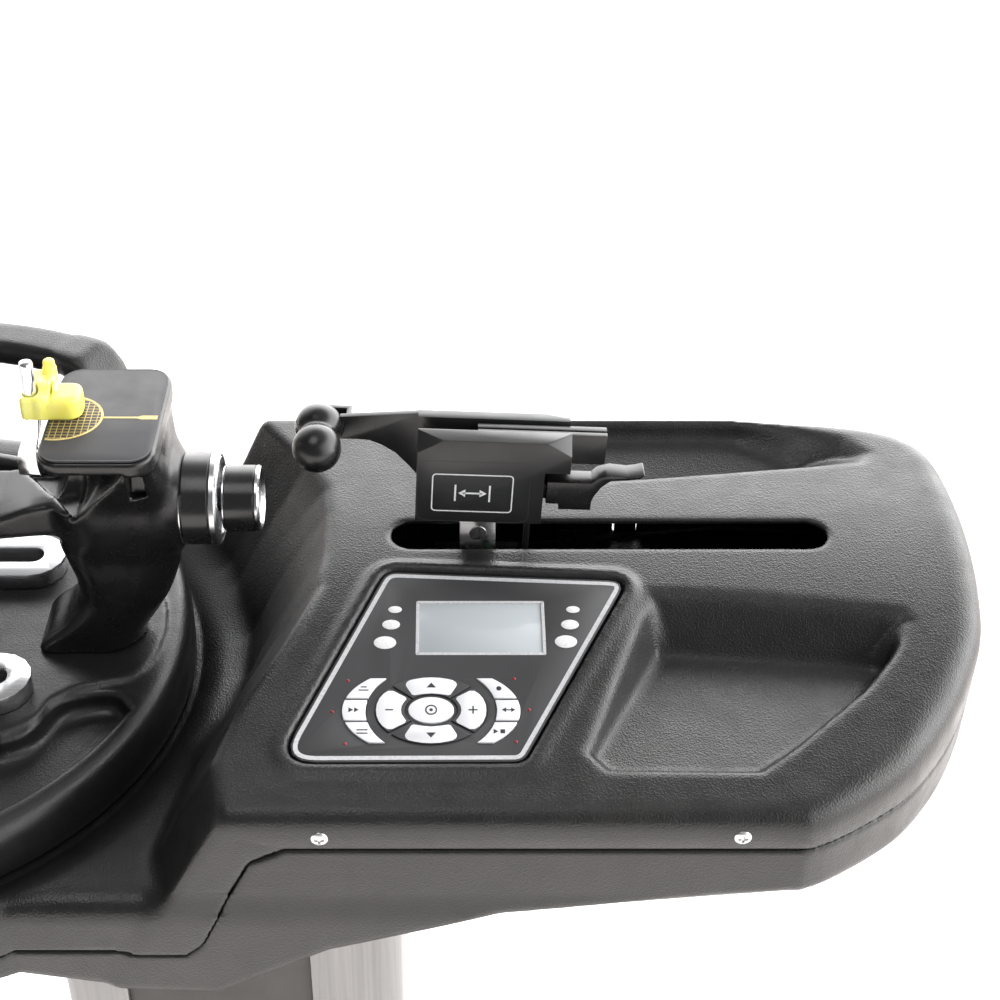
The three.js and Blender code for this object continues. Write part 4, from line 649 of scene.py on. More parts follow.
FRONT_TRAY_RIM = [
    (210, -167), (229, -181), (320, -181), (343, -164), (391, -123), (417, -88), (425, -76), (418, -65),
    (324, -54), (266, -52),
]
FRONT_TRAY_FOOT = [
    (229, -164), (236, -174), (318, -175), (338, -160), (380, -122), (400, -97), (402, -92), (397, -89),
    (324, -82), (272, -77),
]
FRONT_TRAY_FLOOR, FRONT_TRAY_FILLET, FRONT_TRAY_EDGE = -38.0, 5, 6
REAR_TRAY_RIM = [(176, 44), (273, 53), (418, 71), (426, 82), (411, 101), (380, 112), (338, 117), (176, 117)]
REAR_TRAY_FOOT = [
    (190, 54), (273, 62), (372, 78), (379, 87), (363, 101), (342, 111), (328, 113), (190, 113),
]
REAR_FLOOR_FRONT = ((190, 54), (273, 62), (372, 78))
REAR_FLOOR_LOW, REAR_FLOOR_RISE, REAR_FLOOR_BACK = -23, 9, 108
REAR_TRAY_FILLET, REAR_TRAY_EDGE = 8, 3.5

LIP_OUT, LIP_DOWN, LIP_RADIUS = 6.4, 3.4, 4.9
POCKET_OUT, POCKET_DEPTH = 2.4, 4.6


def underside(x):
    """The level of the deck's belly"""
    return along(x, BELLY_LEVEL)


def deck_field(x, y, z):
    """The deck as one solid, with its trays and panel recess"""
    outline = outline_distance(deck_outline(), x, y)
    height = z * math.cos(SLOPE) - (y - SLOPE_START) * math.sin(SLOPE)
    top = smax(z, height, TOP_ROUNDING)
    raised = smax(outline, top, along(x, RIM_ROUNDING) * along(y, REAR_RIM_SHARE))

    level = np.minimum(0, (y - SLOPE_START) * math.tan(SLOPE))
    lean = along(y, FLANK_LEAN)
    steep = (along(y, FLANK_FOOT) + FOOT_LEAN * (z - PLATFORM_LEVEL) - x) * FOOT_STEEPNESS
    shallow = (along(y, FLANK_CREASE) + lean * (z - level) - x) / np.sqrt(1 + lean ** 2)
    raised = smax(raised, smax(steep, shallow, FLANK_ROUNDING), 5)

    radius = away(x, y, TABLE_X, TABLE_Y)
    sunk = np.clip((WELL_RADIUS - radius) / WELL_SLOPE, 0, 1) ** 2
    platform = smax(outline, z - PLATFORM_LEVEL - (WELL_LEVEL - PLATFORM_LEVEL) * sunk, PLATFORM_ROUNDING)
    body = smin(raised, platform, 12)

    front_tray = tray(x, y, z, FRONT_TRAY_RIM, FRONT_TRAY_FOOT, FRONT_TRAY_FLOOR, FRONT_TRAY_FILLET)
    body = smax(body, -front_tray, FRONT_TRAY_EDGE)
    front = along(x, REAR_FLOOR_FRONT)
    floor = REAR_FLOOR_LOW + REAR_FLOOR_RISE * np.clip((y - front) / (REAR_FLOOR_BACK - front), 0, 1)
    rear_tray = tray(x, y, z, REAR_TRAY_RIM, REAR_TRAY_FOOT, floor, REAR_TRAY_FILLET)
    body = smax(body, -rear_tray, REAR_TRAY_EDGE)

    panel = outline_distance(PANEL, x, (y - SLOPE_START) / math.cos(SLOPE))
    lip = away(panel, height, LIP_OUT, -LIP_DOWN) - LIP_RADIUS
    body = smin(body, lip, 5)
    body = smax(body, -smax(panel - POCKET_OUT, -POCKET_DEPTH - height, 1.5), 2.5)
    return smax(body, (underside(x) - z) * along(x, BELLY_STEEPNESS), BELLY_ROUNDING)


SHELL_THICKNESS, SHELL_STEP, SHELL_KEPT = 4.6, 2.2, 0.42
SLOT = (112, 381, LINE_Y - 12.5, LINE_Y + 12.5, 12.5)
SLOT_DEPTH = 30
COLUMN_HOLE_X, COLUMN_HOLE_Y, COLUMN_HOLE_REACH = (-116.5, 116.5), (-105.5, 45.5), 9
SPINDLE_HOLE, SPINDLE_LEVELS = 34, (-140, -100)
REAR_HOLES = ((236, 27.6, 20.6), (272, 17, 23.4))
REAR_HOLE_LEVEL, REAR_HOLE_START = -84, 100
SEAM_LEVEL = ((-3, -147), (7.2, -138), (25.2, -97.7), (37.8, -72), (57, -62))
SEAM_STEEPNESS = ((-3, 0.8), (7.2, 0.55), (25.2, 0.4), (37.8, 0.6), (57, 1))
SEAM_GAP, SEAM_ROUNDING = 0.15, 0.4


def deck_shells():
    """Hollows the deck, opens it and cuts it along the seam"""
    step = SHELL_STEP * FINE
    low, high = [-500, -252, -190], [472, 272, 4]
    x, y, z = grid(low, high, step)
    body = deck_field(x, y, z).astype(np.float32)
    slope = np.sqrt(sum(np.square(part) for part in np.gradient(body, step)))
    shell = np.maximum(body, -SHELL_THICKNESS - body / np.clip(slope, 1, 4))
    shell = smax(shell, -smax(box_distance(x, y, *SLOT), -SLOT_DEPTH - z, 1), 3)
    reach = z - underside(x) - COLUMN_HOLE_REACH
    shell = np.maximum(shell, -shared(span(x, *COLUMN_HOLE_X), span(y, *COLUMN_HOLE_Y), reach))
    spindle = away(x, y, TABLE_X, TABLE_Y) - SPINDLE_HOLE
    shell = np.maximum(shell, -np.maximum(spindle, span(z, *SPINDLE_LEVELS)))
    for centre, width, tall in REAR_HOLES:
        across, up = np.abs(x - centre) - width / 2, np.abs(z - REAR_HOLE_LEVEL) - tall / 2
        shell = np.maximum(shell, -shared(across, up, REAR_HOLE_START - y))
    seam, tilt = along(x, SEAM_LEVEL), along(x, SEAM_STEEPNESS)
    keep = SHELL_KEPT
    top = net(smax(shell, (seam - z) * tilt, SEAM_ROUNDING), low, step, keep)
    bottom = net(smax(shell, (z - seam + SEAM_GAP) * tilt, SEAM_ROUNDING), low, step, keep)
    add_piece("deck_top", top, "stand", "shell", DECK, ("deck_top_shell",))
    add_piece("deck_bottom", bottom, "stand", "shell", DECK, ("deck_bottom_shell",))


HANDLE_RADIUS, HANDLE_HALF_WIDTH, HANDLE_EDGE = 251, 17, 8
HANDLE_HALF_RUN = math.radians(32) * HANDLE_RADIUS
HANDLE_LEVELS, HANDLE_FOOT = (-24, -4), -107.6
LEG_HALF_WIDTH, LEG_ANGLE, LEG_SPREAD = 15.3, math.radians(28.5), math.radians(9)
LEG_TOP, LEG_HEIGHT = -10, 98
CHAMFER_START, CHAMFER_STEEPNESS = 127, 0.7


def handle_field(x, y, z):
    """A bar bent round the turntable, on two legs, with slanted ends"""
    radius = away(x, y, TABLE_X, TABLE_Y)
    run = np.abs(np.arctan2(x - TABLE_X, y - TABLE_Y)) * HANDLE_RADIUS
    band = np.abs(radius - HANDLE_RADIUS) - HANDLE_HALF_WIDTH
    bar = smax(smax(band, span(z, *HANDLE_LEVELS), HANDLE_EDGE), run - HANDLE_HALF_RUN, 4)
    centre = (LEG_ANGLE + LEG_SPREAD * (LEG_TOP - z) / LEG_HEIGHT) * HANDLE_RADIUS
    leg = smax(smax(band, np.abs(run - centre) - LEG_HALF_WIDTH, HANDLE_EDGE), z + 8, 4)
    ends = (run - CHAMFER_START + z + 4) * CHAMFER_STEEPNESS
    return smax(smax(smin(bar, leg, 8), ends, 5), HANDLE_FOOT - z, 0.6)


# Turntable: raised field, near pocket outline and levels
RAISED_NEAR = [
    (110, -97), (124, -86.5), (130.5, -78), (134.5, -67), (148, -56.5), (165.5, -51), (182, -46),
    (192.5, -28),
]
RAISED_RIGHT = RAISED_NEAR + [(196.5, 0)] + [(px, -py) for px, py in reversed(RAISED_NEAR)]
POCKET_RIGHT = [
    (183.5, -73), (176.5, -62.3), (168, -58.3), (153, -60.5), (141, -66), (135, -74), (131, -84),
    (124, -94), (110, -101),
]
TABLE_RADIUS, TABLE_EDGE, TABLE_FOOT = 212, 13, -119
TABLE_LEVEL, TABLE_STEP = -78, 2.6
STEP_START, STEP_WIDTH = -1.2, 2.8
POCKET_RIM, POCKET_FLOOR, POCKET_FILLET, POCKET_EDGE = 196, -95.2, 9, 5
UNDERCUT_RING, UNDERCUT_LEVEL = (40, 196), -101.5
BORE_RADIUS, BORE_TOP = 18.4, -94.6


def turntable_field(x, y, z):
    """A disc with a raised middle field and two pockets, hollow below"""
    radius = away(x, y)
    left = [(-px, -py) for px, py in RAISED_RIGHT]
    raised = outline_distance(smooth_line(RAISED_RIGHT, 3) + smooth_line(left, 3), x, y)
    step = np.clip((raised - STEP_START) / STEP_WIDTH, 0, 1)
    surface = TABLE_LEVEL - TABLE_STEP * step * step * (3 - 2 * step)
    disc = smax(smax(radius - TABLE_RADIUS, z - surface, TABLE_EDGE), TABLE_FOOT - z, 4)
    left = [(-px, py) for px, py in reversed(POCKET_RIGHT)]
    line = arc(0, 0, POCKET_RIM, POCKET_RIM, 201, 339, 40)
    line += smooth_line(POCKET_RIGHT, 3) + smooth_line(left, 3)
    for turn in (1, -1):
        pocket = outline_distance(line, x, turn * y)
        disc = smax(disc, -smax(pocket * 0.9, POCKET_FLOOR - z, POCKET_FILLET), POCKET_EDGE)
    disc = np.maximum(disc, -np.maximum(span(radius, *UNDERCUT_RING), z - UNDERCUT_LEVEL))
    return np.maximum(disc, -np.maximum(radius - BORE_RADIUS, z - BORE_TOP))


def spread(table, z, reach):
    """The value over level, from rows of (level, value) with soft bends"""
    fine = np.arange(table[0][0] - 30, table[-1][0] + 30, 0.5)
    line = along(fine, table)
    kernel = np.ones(int(reach / 0.5)) * 0.5 / reach
    kernel /= kernel.sum()
    for _ in range(2):
        line = np.convolve(np.pad(line, len(kernel), mode="edge"), kernel, mode="same")
        line = line[len(kernel):-len(kernel)]
    return np.interp(z, fine, line)


# Tower, along the table's x: sides over level, corner radii, sleeve over x and the hollow's roof over x
TOWER_INNER = (
    (-77.7, 118.5), (-70, 124), (-60, 137), (-46, 146), (-37, 148.6), (-24, 148), (-9, 144), (2, 141),
    (20, 143), (34, 145),
)
TOWER_OUTER = (
    (-77.7, 185), (-70, 187), (-56, 196), (-43, 204), (-33, 208), (-21, 212), (-8, 214), (8, 215.5),
    (30, 216), (55, 214), (68, 211.5), (78, 210.5),
)
TOWER_HALF = ((-77.7, 26), (-60, 26), (-30, 26.5), (0, 27), (20, 29), (38, 33), (58, 40), (78, 48))
INNER_CORNER = ((-76, 6), (-60, 9), (-40, 17), (20, 17), (44, 9))
OUTER_CORNER = ((0, 25.5), (40, 24), (78, 15))
SLEEVE_HALF = ((108, 27), (128, 24), (150, 22))
SLEEVE_TOP = ((92, 29), (108, 29), (128, 35), (150, 38.5))
HOLLOW_ROOF = ((125, 30), (140, 30.5), (158, 34), (166, 42), (176, 53), (186, 64.5), (192.5, 74.5))
HOLLOW_START, HOLLOW_SLANT, HOLLOW_STEEPNESS, SHELF_LEVEL = 133.8, 0.718, 0.81, 38.4
TOWER_FOOT, TOWER_CROWN, AXIS_LEVEL = -77.6, 80, 26
BOSS_START, BOSS_END, BOSS_RADIUS, NECK_RADIUS, BORE = 165, 217.3, 25, 22, 4.3
SLAB_SIDES, SLAB_LEVELS = (143.6, 211.4, -50.4, 50.4, 14), (75.5, 86.6)
LOCK_NOTCH, LOCK_NOTCH_LEVELS, STOP_SLOT_LEVELS = (193.5, 203), (53, 77), (15.5, 26.5)


def tower_field(x, y, z):
    """A hollow-fronted casting: foot, waist, flared head slab, sleeve along the bridge and knob boss"""
    inner, outer = spread(TOWER_INNER, z, 6.0), spread(TOWER_OUTER, z, 6.0)
    half = spread(TOWER_HALF, z, 9.0)
    corner = np.where(x > (inner + outer) / 2, along(z, OUTER_CORNER), along(z, INNER_CORNER))
    body = box_distance(x, y, inner, outer, -half, half, corner)
    body = smax(smax(body, TOWER_FOOT - z, 2), z - TOWER_CROWN, 2)
    around = away(y, z, 0, AXIS_LEVEL)
    body = smin(body, smax(around - 29, span(x, BOSS_START, 216), 8), 14)
    sleeve = smax(np.abs(y) - along(x, SLEEVE_HALF), np.maximum(13.5 - z, z - along(x, SLEEVE_TOP)), 4)
    body = smin(body, smax(sleeve, span(x, 92, 190), 1), 6)
    top = smax(box_distance(x, y, *SLAB_SIDES), span(z, *SLAB_LEVELS), 2.2)
    body = smin(body, top, 3)
    front = (HOLLOW_START - x - HOLLOW_SLANT * y) * HOLLOW_STEEPNESS
    hollow = np.maximum(front, (along(x, HOLLOW_ROOF) - z) * 0.8)
    hollow = np.minimum(hollow, np.maximum(-front, SHELF_LEVEL - z))
    hollow = shared(hollow, x - 192.5, z - 77.4, y - 16)
    core = np.maximum(151 - x, span(y, -4, 40))
    body = smax(body, -smax(hollow, -core, 16), 4)
    body = smax(body, -shared(span(x, *LOCK_NOTCH), y + 30, span(z, *LOCK_NOTCH_LEVELS)), 0.8)
    boss = smax(smax(around - BOSS_RADIUS, x - BOSS_END, 4), BOSS_START - x, 2)
    body = smin(body, boss, 8)
    body = smin(body, smax(around - NECK_RADIUS, span(x, 205, BOSS_END), 2), 3)
    body = smin(body, np.maximum(around - 8, span(x, 200, 242.6)), 0.5)
    body = np.maximum(body, -np.maximum(around - BORE, 217 - x))
    return smax(body, -shared(x - 197.4, np.abs(y) - 20.5, span(z, *STOP_SLOT_LEVELS)), 0.8)


def bridge_field(x, y, z):
    bar = smax(smax(np.abs(y) - 20, span(z, 16, 26), 3), np.abs(x) - 157, 1)
    post = smax(smax(np.abs(x) - 35, np.abs(y) - 15, 9), span(z, -77.6, 22), 1)
    return smin(bar, post, 12)


deck_shells()
handle = moulded(handle_field, (-420, 150, -110), (-40, 268, -6), 2.4 * FINE)
disc = moulded(turntable_field, (-214, -214, -121), (214, 214, -75), 1.9 * FINE, 0.6)
bridge = moulded(bridge_field, (-160, -24, -80), (160, 24, 28), 1.6 * FINE)
add_piece("handle", handle, "stand", "shell", DECK, ("rear_handle",))
add_piece("turntable_disc", disc, "turntable_body", "table", TABLE, ("turntable",))
add_piece("bridge_casting", bridge, "turntable_body", "cast", TABLE, ("bridge",))

# Towers with plates, knobs, hooks and racket supports
COLLAR_X, FINE_X = 217.7, 242.9
PLATE = (145.4, 209.6, -48.6, 48.6, 12.6, 10)
HOOK_LEFT = [(131.3, 88), (131.3, 79.5), (127.9, 72.2), (124.3, 65.7), (121.6, 56.5), (121.6, 46.4)]
HOOK_RIGHT = [(134.7, 45.1), (133.7, 51.8), (133.9, 61.1), (135.2, 67.6), (137.4, 75.8), (139.0, 88)]
PIN_X = 135.5
SUPPORT_FOOT, SUPPORT_TOP, SUPPORT_BACK_TOP = 88.6, 102.5, 107.8
NUB, NUB_TOP = (145, 14.6), 116.2


def knob_pieces(side, place):
    """The collar knob and the fine knob, black grips between bright rings"""
    collar = spun(
        [(8.4, 1.7), (27.4, 1.7), (28.2, 2.5), (28.2, 17.4), (27.6, 18.2), (8.4, 18.2), (8.4, 1.7)], 96, "x",
    )
    rings = joined(
        spun([(20, 0.1), (27.2, 0.1), (27.8, 0.6), (27.8, 1.2), (27.2, 1.6), (20, 1.6), (20, 0.1)], 96, "x"),
        spun([(8.4, 18.3), (28.1, 18.3), (28.8, 19.0), (28.8, 21.9), (27.7, 23.2), (26.4, 23.6), (25.8, 23.2),
              (25.3, 23.6), (21.9, 23.6), (21.3, 22.7), (8.4, 22.7), (8.4, 18.3)], 96, "x"),
    )
    body, node = f"{side}_collar_body", f"{side}_collar_knob"
    centre = Matrix.Translation((COLLAR_X, 0, AXIS_LEVEL))
    add_piece(f"{side}_collar_grip", collar, body, "gloss", place @ centre, (node,))
    add_piece(f"{side}_collar_rings", rings, body, "turned", place @ centre)
    grip = spun(
        [(0, 1.2), (19.6, 1.2), (20.3, 1.9), (20.3, 18.8), (19.7, 19.4), (0, 19.4), (0, 1.2)], 96, "x",
    )
    stem = spun([(0, -13.8), (4, -13.8), (4, 1.5), (0, 1.5)], 32, "x")
    cap = joined(
        spun([(0, 0), (19.2, 0), (19.8, 0.4), (19.8, 1.1), (0, 1.1), (0, 0)], 96, "x"),
        spun([(0, 19.5), (19.7, 19.5), (20.3, 20.1), (20.3, 21.5), (19.3, 22.6), (17.9, 22.8), (17.1, 22.2),
              (15.4, 20.6), (9, 20.1), (0, 20.0), (0, 19.5)], 96, "x"),
    )
    body, node = f"{side}_fine_body", f"{side}_fine_knob"
    centre = Matrix.Translation((FINE_X, 0, AXIS_LEVEL))
    grip = joined(grip, stem)
    add_piece(f"{side}_fine_grip", grip, body, "gloss", place @ centre, (node,))
    add_piece(f"{side}_fine_cap", cap, body, "turned", place @ centre)


def hook_mesh():
    """A flat bar bent like an S, with a pin on top"""
    outline = smooth_line(HOOK_LEFT, 6) + smooth_line(HOOK_RIGHT, 6)
    count = len(outline)
    vertices = [(x, -4.0, z) for x, z in outline] + [(x, 4.0, z) for x, z in outline]
    faces = [tuple(range(count)), tuple(reversed(range(count, 2 * count)))]
    faces += [((i + 1) % count, i, i + count, (i + 1) % count + count) for i in range(count)]
    bar = bevelled(mesh_of(vertices, faces), 0.9, 3)
    block = bevelled(slab(round_box(131.4, 139.4, -3.9, 3.9, 1.2, 3), 87.4, 92.1), 0.5)
    pin = spun([(0, 88.2), (4.1, 88.2), (4.1, 122.2), (3.6, 123.3), (2.4, 123.9), (0, 123.9)], 40)
    return joined(bar, block, shifted(pin, PIN_X))


def support_field(x, y, z):
    """The yellow nylon block that carries the racket frame"""
    block = smax(box_distance(x, y, 129.6, 145, -8.3, 6, 3), z - SUPPORT_TOP, 3)
    lobe = smax(outline_distance(
        rounded([(139, -8.3), (164.8, -8.3), (164.8, 12.8), (149, 12.8), (140, 6)], (3, 9, 8, 3, 3)), x, y,
    ), z - SUPPORT_TOP, 4)
    back = smax(box_distance(x, y, 134.2, 148.8, 0, 18.8, 3), z - SUPPORT_BACK_TOP, 3)
    nub = smax(away(x, y, *NUB) - 3.5, z - NUB_TOP, 2)
    collar = smax(away(x, y, *NUB) - 4.1, span(z, 108, 111.6), 1)
    whole = smin(smin(block, lobe, 3), smin(back, smin(nub, collar, 1), 2), 3)
    groove = smax(np.abs(x - 147.5) - 0.7, 101 - z, 0.5)
    whole = smax(whole, -np.maximum(groove, y - 6), 0.6)
    whole = smax(whole, SUPPORT_FOOT - z, 1)
    hole = away(x, y, PIN_X) - 4.6
    recess = shared(np.abs(x - 136) - 5.2, np.abs(y) - 4.4, z - 92.5)
    return shared(whole, -hole, -recess)


def racket_figure():
    """A plain line drawing of a racket, printed on the plate and cut off by the plate's inner edge"""
    low, top, edge, cx, cy, rx, ry, reach = 88.0, 88.2, 146.6, 152.0, -4.5, 25.0, 23.5, 102.0
    band = arc(cx, cy, rx, ry, -reach, reach, 60) + arc(cx, cy, rx - 1.5, ry - 1.5, reach, -reach, 60)
    parts = [slab(band, low, top)]
    for i in range(-1, 7):
        x = cx + i * 3.6
        half = (ry - 0.8) * math.sqrt(max(0, 1 - ((x - cx) / (rx - 0.8)) ** 2))
        parts.append(slab(bar(x, cy, 0.45, 2 * half), low, top - 0.04))
    for i in range(-7, 8):
        y = cy + i * 3.0
        right = cx + (rx - 0.8) * math.sqrt(max(0, 1 - ((y - cy) / (ry - 0.8)) ** 2))
        parts.append(slab(bar((edge + right) / 2, y, right - edge, 0.45), low, top - 0.04))
    shaft = [(176.6, -5.4), (197, -5.4), (197, -3.6), (176.6, -3.6)]
    grip = [(197, -5.4), (199.5, -6.5), (208.8, -6.5), (208.8, -2.5), (199.5, -2.5), (197, -3.6)]
    return joined(*parts, slab(shaft, low, top), slab(grip, low, top))


tower_mesh = moulded(tower_field, (88, -52, -79), (244, 52, 88), 1.4 * FINE, 0.6)
support_mesh = moulded(support_field, (129, -9, 88), (166, 20, 117), 0.55 * FINE)
for side, place in SIDES.items():
    body = f"{side}_tower_body"
    add_piece(f"{side}_tower_casting", tower_mesh.copy(), body, "cast", place, (f"{side}_tower",))
    plate = slab(round_box(*PLATE), 86.9, 88.05, 0.25)
    add_piece(f"{side}_plate", plate, body, "plate", place, (f"{side}_tower_plate",))
    edge = ribbon(round_box(*PLATE), -0.75, -0.15, 87.9, 88.12)
    add_piece(f"{side}_plate_edge", edge, body, "print_dark", place)
    add_piece(f"{side}_plate_figure", racket_figure(), body, "print_gold", place)
    knob_pieces(side, place)
    body = f"{side}_hook_body"
    add_piece(f"{side}_hook", hook_mesh(), body, "chrome", place, (f"{side}_frame_hook",))
    block, node = support_mesh.copy(), f"{side}_racket_support"
    add_piece(f"{side}_support", block, body, "yellow", place, (node,))


# Control panel: plate, print, window, lamps and keys, on the slope's own plane
PANEL_FACE = -0.7
PAD_X, PAD_Y = 137.2, -106.3
WINDOW = (165.8 - 37.3, 165.8 + 37.3, -48 - 19.2, -48 + 19.2)
LEVEL_MARKS = (
    (115.5, -34.7, 8, 5), (113.4, -45.8, 10.4, 7), (110.1, -58.9, 13, 9),
    (220.5, -34.7, 8, 5), (218.2, -45.8, 10.4, 7), (215.3, -58.2, 13, 9),
)
LAMPS = (
    (89.7, -85.8), (81.5, -107), (89.6, -128.3), (184.4, -84.4), (192.3, -105.6), (184.4, -126.9),
)
KEY_TOP, MARK_TOP = 0.2, 0.3


def pad_arc(rx, ry, start, end, steps):
    return arc(PAD_X, PAD_Y, rx, ry, start, end, steps)


def inner_key(middle, spread_angle):
    return pad_arc(31.5, 22.6, middle - spread_angle, middle + spread_angle, 20) + pad_arc(
        15, 11, middle + spread_angle, middle - spread_angle, 16)


def outer_key(side, row):
    pitch = 22.4 * 2 / 3
    low, high = (row - 0.5) * pitch + 0.7, (row + 0.5) * pitch - 0.7

    def edge(half, start, end):
        levels = [start + (end - start) * i / 8 for i in range(9)]
        return [(PAD_X + side * half * math.sqrt(1 - (v / 30) ** 2), PAD_Y + v) for v in levels]
    outline = edge(50.2, low, high) + edge(37, high, low)
    return outline if side > 0 else outline[::-1]


def mirrored(half, across):
    """A closed outline from the points of one half, about the pad's upright or level middle line"""
    other = [(-x, y) if across else (x, -y) for x, y in reversed(half)]
    return [(PAD_X + x, PAD_Y + y) for x, y in half + other]


def turned_round(outline):
    """The outline turned half a turn about the pad's middle"""
    return [(2 * PAD_X - x, 2 * PAD_Y - y) for x, y in outline]


SIDE_SPREAD = 46 - math.degrees(1.4 / 15)
KEYS = {
    "enter_key": pad_arc(12.9, 8.8, 0, 354, 59),
    "up_key": inner_key(90, 44), "down_key": inner_key(270, 44),
    "minus_key": inner_key(180, SIDE_SPREAD), "plus_key": inner_key(0, SIDE_SPREAD),
    "unit_key": outer_key(-1, 1), "speed_key": outer_key(-1, 0), "constant_key": outer_key(-1, -1),
    "knot_key": outer_key(1, 1), "stretch_key": outer_key(1, 0), "start_key": outer_key(1, -1),
}


UP_FACE = mirrored([
    (0.01, 11.2), (5, 10.7), (9.6, 9.9), (11, 10.4), (14.2, 16), (14.5, 17.5), (13.9, 18.9), (12.3, 20.2),
    (10, 20.9), (5, 21.9), (0.01, 22.2),
], True)
PLUS_FACE = mirrored([
    (17, -0.01), (16.6, -2.8), (15.2, -5.4), (14, -7.2), (14.6, -8.7), (21.6, -12.9), (24.4, -12.9),
    (27, -11), (29.2, -7.9), (30.6, -4), (31, -0.01),
], False)
FACES = {
    "up_key": UP_FACE, "down_key": turned_round(UP_FACE),
    "plus_key": PLUS_FACE, "minus_key": turned_round(PLUS_FACE),
}


def wedge(x, y, width, height):
    """A triangle that points along Y for a positive height"""
    points = [(x - width / 2, y - height / 2), (x + width / 2, y - height / 2), (x, y + height / 2)]
    return points if height > 0 else points[::-1]


def pointer(x, y, width, height):
    """A triangle that points along X for a positive width"""
    points = [(x - width / 2, y - height / 2), (x + width / 2, y), (x - width / 2, y + height / 2)]
    return points if width > 0 else points[::-1]


def key_marks():
    """Plain signs on the keys"""
    low, high = KEY_TOP - 0.05, MARK_TOP
    left, right = PAD_X - 43.6, PAD_X + 43.6
    ring = pad_arc(3.4, 3.4, 0, 350, 35)
    outlines = {
        "minus_key": [bar(PAD_X - 23.6, PAD_Y, 4.4, 0.9)],
        "plus_key": [bar(PAD_X + 23.6, PAD_Y, 5.2, 0.9), bar(PAD_X + 23.6, PAD_Y, 0.9, 5.2)],
        "up_key": [wedge(PAD_X, PAD_Y + 16.9, 5.4, 3.4)],
        "down_key": [wedge(PAD_X, PAD_Y - 16.9, 5.4, -3.4)],
        "unit_key": [bar(left + 5.2, PAD_Y + 13.4, 5.6, 0.7), bar(left + 5.2, PAD_Y + 15.6, 3.4, 0.7)],
        "speed_key": [pointer(left - 1.6, PAD_Y, 2.6, 3.2), pointer(left + 1.6, PAD_Y, 2.6, 3.2)],
        "constant_key": [bar(left + 5.2, PAD_Y - 15.6, 6.2, 0.7), bar(left + 5.2, PAD_Y - 13.4, 6.2, 0.7)],
        "knot_key": [arc(right - 5.2, PAD_Y + 14.6, 1.5, 1.5, 0, 340, 17)],
        "stretch_key": [
            pointer(right + 2.6, PAD_Y, 2.4, 3), pointer(right - 2.6, PAD_Y, -2.4, 3),
            bar(right, PAD_Y, 2.8, 0.7),
        ],
        "start_key": [pointer(right - 7.4, PAD_Y - 14.4, 2.6, 3.2), bar(right - 3.6, PAD_Y - 14.4, 2.6, 2.6)],
    }
    for node, shapes in outlines.items():
        mesh = joined(*[slab(shape, low, high) for shape in shapes])
        add_piece(node + "_mark", mesh, node + "_body", "print_dark", SLOPE_PLANE)
    target = joined(ribbon(ring, -0.8, 0, low, high), slab(pad_arc(1, 1, 0, 340, 17), low, high))
    add_piece("enter_key_mark", target, "enter_key_body", "print_dark", SLOPE_PLANE)


def build_panel():
    softened("control_panel", "panel", width=0.35)
    border = ribbon(PANEL, -2.9, -0.3, PANEL_FACE - 0.05, PANEL_FACE + 0.09)
    add_piece("panel_border", border, "stand", "print_silver", SLOPE_PLANE)
    ovals = []
    for x, y, width, height in LEVEL_MARKS:
        oval = arc(x, y, width / 2, height / 2, 0, 354, 59)
        ovals.append(slab(oval, PANEL_FACE - 0.1, PANEL_FACE + 0.25, 0.08))
    add_piece("panel_ovals", joined(*ovals), "stand", "print_white", SLOPE_PLANE)
    lamps = []
    for x, y in LAMPS:
        dome = spun([(0, 0.35), (0.5, 0.3), (0.95, 0.1), (1.1, -0.1), (0, -0.1)], 24)
        lamps.append(shifted(dome, x, y, PANEL_FACE))
    add_piece("panel_lamps", joined(*lamps), "stand", "lamp_red", SLOPE_PLANE)
    window = round_box(*WINDOW, 0.6, 2)
    glass = slab(window, -2.0, -1.15, 0.1)
    add_piece("display_window", glass, "stand", "display", SLOPE_PLANE, ("lcd_window",))
    frame_line = ribbon(window, -1.3, 0.5, -1.2, PANEL_FACE + 0.12)
    add_piece("display_frame", frame_line, "stand", "print_silver", SLOPE_PLANE)
    for node, outline in KEYS.items():
        mesh = slab(outline, -2.8, KEY_TOP, 0.35, 3)
        face = FACES.get(node)
        look = "panel" if face else "key"
        add_piece(node + "_cap", mesh, node + "_body", look, SLOPE_PLANE, (node,))
        if face:
            mesh = slab(face, 0.1, 0.24, 0.05)
            add_piece(node + "_face", mesh, node + "_body", "key", SLOPE_PLANE)
    key_marks()


build_panel()

# Tension head
for node, look, slot, width in (
    ("head_body", "anodised", "anodised", 0.35), ("head_side_bar", "anodised", "anodised", 0.3),
    ("front_jaw", "anodised", "anodised", 0.35), ("rear_jaw", "anodised", "anodised", 0.35),
    ("trigger", "cast", "anodised", 0.4), ("tension_carriage", "steel", "steel", 0.4),
):
    softened(node, look, width)


def guide_profile():
    profile = [(0, 25.5)]
    for i in range(1, 33):
        y = 11 + 14.5 * math.cos(math.radians(90 * i / 32))
        profile.append((math.sqrt(max(0, 14.5 ** 2 - (y - 11) ** 2)), y))
    for y in np.linspace(10, 0, 12):
        ball = math.sqrt(14.5 ** 2 - (y - 11) ** 2)
        profile.append((float(smax(np.float64(ball), np.float64(11.2), 1.6)), float(y)))
    return profile + [(r, -y) for r, y in reversed(profile[:-1])]


balls = shifted(spun(guide_profile(), 80, "y"), -97, 0, 38)
add_piece("guide_balls", balls, "guide_body", "cast", HEAD, ("string_guide",))
HEAD_FRONT = Matrix.Translation((0, -17.0, 0)) @ Matrix.Rotation(math.pi / 2, 4, "X")


